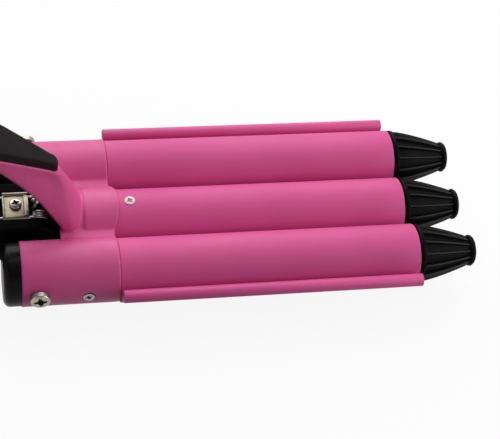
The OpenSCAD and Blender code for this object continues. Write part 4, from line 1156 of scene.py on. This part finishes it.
PANE = round_corners([(-6.4, -4.2), (6.4, -4.2), (6.4, 4.2), (-6.4, 4.2)], 0.8, 5, closed=True)
new_piece("window_pane", drawn_z(PANE, PANE_LOW, PANE_TOP, WINDOW_X, 0.25), window_smoke, "handle",
          ("display_window",), 40)

SWIVEL_GROOVES = 4
swivel = [(-155.7, 3.35), (-155.7, 9.5), (-158.7, 9.5), (-158.7, 7.42), (-166.4, 7.42), (-166.4, 9.0)]
for k in range(SWIVEL_GROOVES):
    x, r = -167.2 - k * 2.6, 9.4 - 0.12 * k * k - 0.25 * k
    swivel += [(x, r), (x - 1.3, r - 0.05), (x - 1.6, r - 0.75), (x - 2.3, r - 0.8)]
swivel += [(-178.4, 6.6), (-179.6, 6.3), (-180, 5.6), (-180, 4.0), (-179.6, 3.35)]
new_piece("swivel_collar", turned_x(round_corners(swivel, 0.25, 3, closed=True), z=HANDLE_Z),
          swivel_black, "cord_swivel", ("cord_swivel",), 30)

# ---------------------------------------------------------------------------
# Camera
# ---------------------------------------------------------------------------
# Place in millimetres from the hinge axis, and the directions ahead and down
CAMERA_AT = (-37.82, -375.57, 490.51)
CAMERA_AHEAD = Vector((0.20337, 0.5894, -0.78183)).normalized()
CAMERA_DOWN = Vector((-0.0466, -0.79178, -0.60902))

camera_data = bpy.data.cameras.new("camera")
camera_data.sensor_width = 36
camera_data.lens = 108
camera_data.clip_start = 0.01
camera_data.clip_end = 20
camera = placed("camera", camera_data)
down = (CAMERA_DOWN - CAMERA_AHEAD * CAMERA_DOWN.dot(CAMERA_AHEAD)).normalized()
right = down.cross(CAMERA_AHEAD)
turn = Matrix((right, -down, -CAMERA_AHEAD)).transposed().to_4x4()
camera.matrix_world = Matrix.Translation(row(CAMERA_AT)) @ turn
bpy.context.scene.camera = camera

# ---------------------------------------------------------------------------
# Floor, sky and lamps
# ---------------------------------------------------------------------------
FLOOR_TONE = 0.8     # what the paper reflects to the eye
FLOOR_BOUNCE = 0.3   # what it throws back onto the tool
FLOOR_WHITE = 0.9    # the share of plain white in what the eye sees
# Name, place and x of the point aimed at in hinge millimetres, size in metres, power
LAMPS = (
    ("soft_key", (60, 700, 950), 60, (1.5, 1.2), 8.8),
    ("soft_back", (60, 1000, 550), 60, (1.2, 0.8), 7.8),
    ("soft_side", (900, -300, 500), 40, (0.8, 0.8), 6.8),
    ("soft_left", (-820, -300, 500), 40, (0.8, 0.8), 0.8),
    ("soft_top", (60, 100, 1200), 60, (1.2, 1.2), 2.0),
)


def paper(name):
    """White paper that stays white to the eye and keeps a soft shadow."""
    mat, tree = blank_material(name)
    path = node(tree, "ShaderNodeLightPath").outputs
    seen = path["Is Camera Ray"]
    for other in ("Is Glossy Ray", "Is Transmission Ray"):
        seen = maths(tree, "MAXIMUM", seen, path[other])
    tone = node(tree, "ShaderNodeMapRange",
                {"Value": seen, "To Min": FLOOR_BOUNCE, "To Max": FLOOR_TONE})
    matt = node(tree, "ShaderNodeBsdfDiffuse", {"Color": tone.outputs[0]})
    glow = node(tree, "ShaderNodeEmission", {"Strength": 1.0})
    share = maths(tree, "MULTIPLY", seen, FLOOR_WHITE)
    both = node(tree, "ShaderNodeMixShader", {0: share, 1: matt.outputs[0], 2: glow.outputs[0]})
    node(tree, "ShaderNodeOutputMaterial", {"Surface": both.outputs[0]})
    return mat


def sweep_shape(reach=6.0, height=4.0, bend=1.2, sides=96):
    """A round floor that curves up into a wall, seen from inside, in metres."""
    rings = [(1.5, 0), (3, 0), (reach - bend, 0)]
    rings += [(reach - bend + bend * math.sin(a), bend - bend * math.cos(a))
              for a in (math.pi / 2 * k / 12 for k in range(1, 13))]
    rings.append((reach, height))
    angles = [2 * math.pi * k / sides for k in range(sides)]
    verts = [(0, 0, 0)] + [(r * math.cos(a), r * math.sin(a), z) for r, z in rings for a in angles]
    faces = []
    for k in range(sides):
        n = (k + 1) % sides
        faces.append((0, 1 + k, 1 + n))
        faces += [(a + k, a + sides + k, a + sides + n, a + n)
                  for a in range(1, 1 + (len(rings) - 1) * sides, sides)]
    return verts, faces


floor_mesh = bpy.data.meshes.new("floor")
verts, faces = sweep_shape()
floor_mesh.from_pydata(verts, [], faces)
for poly in floor_mesh.polygons:
    poly.use_smooth = True
floor_mesh.materials.append(paper("floor_paper"))
floor = placed("floor", floor_mesh)
floor.location.z = -0.0002

world = bpy.data.worlds.new("studio")
bpy.context.scene.world = world
world.use_nodes = True
feed(world.node_tree, world.node_tree.nodes["Background"], {"Color": (1, 1, 1, 1), "Strength": 0.1})

for name, place, aim_x, size, power in LAMPS:
    data = bpy.data.lights.new(name, "AREA")
    data.shape = "RECTANGLE"
    data.size, data.size_y = size
    data.energy = power
    here, there = Vector(row(place)), Vector(row((aim_x, 0, 0)))
    facing = (there - here).to_track_quat("-Z", "Y").to_matrix().to_4x4()
    placed(name, data).matrix_world = Matrix.Translation(here) @ facing

bpy.context.scene.view_settings.view_transform = "Standard"
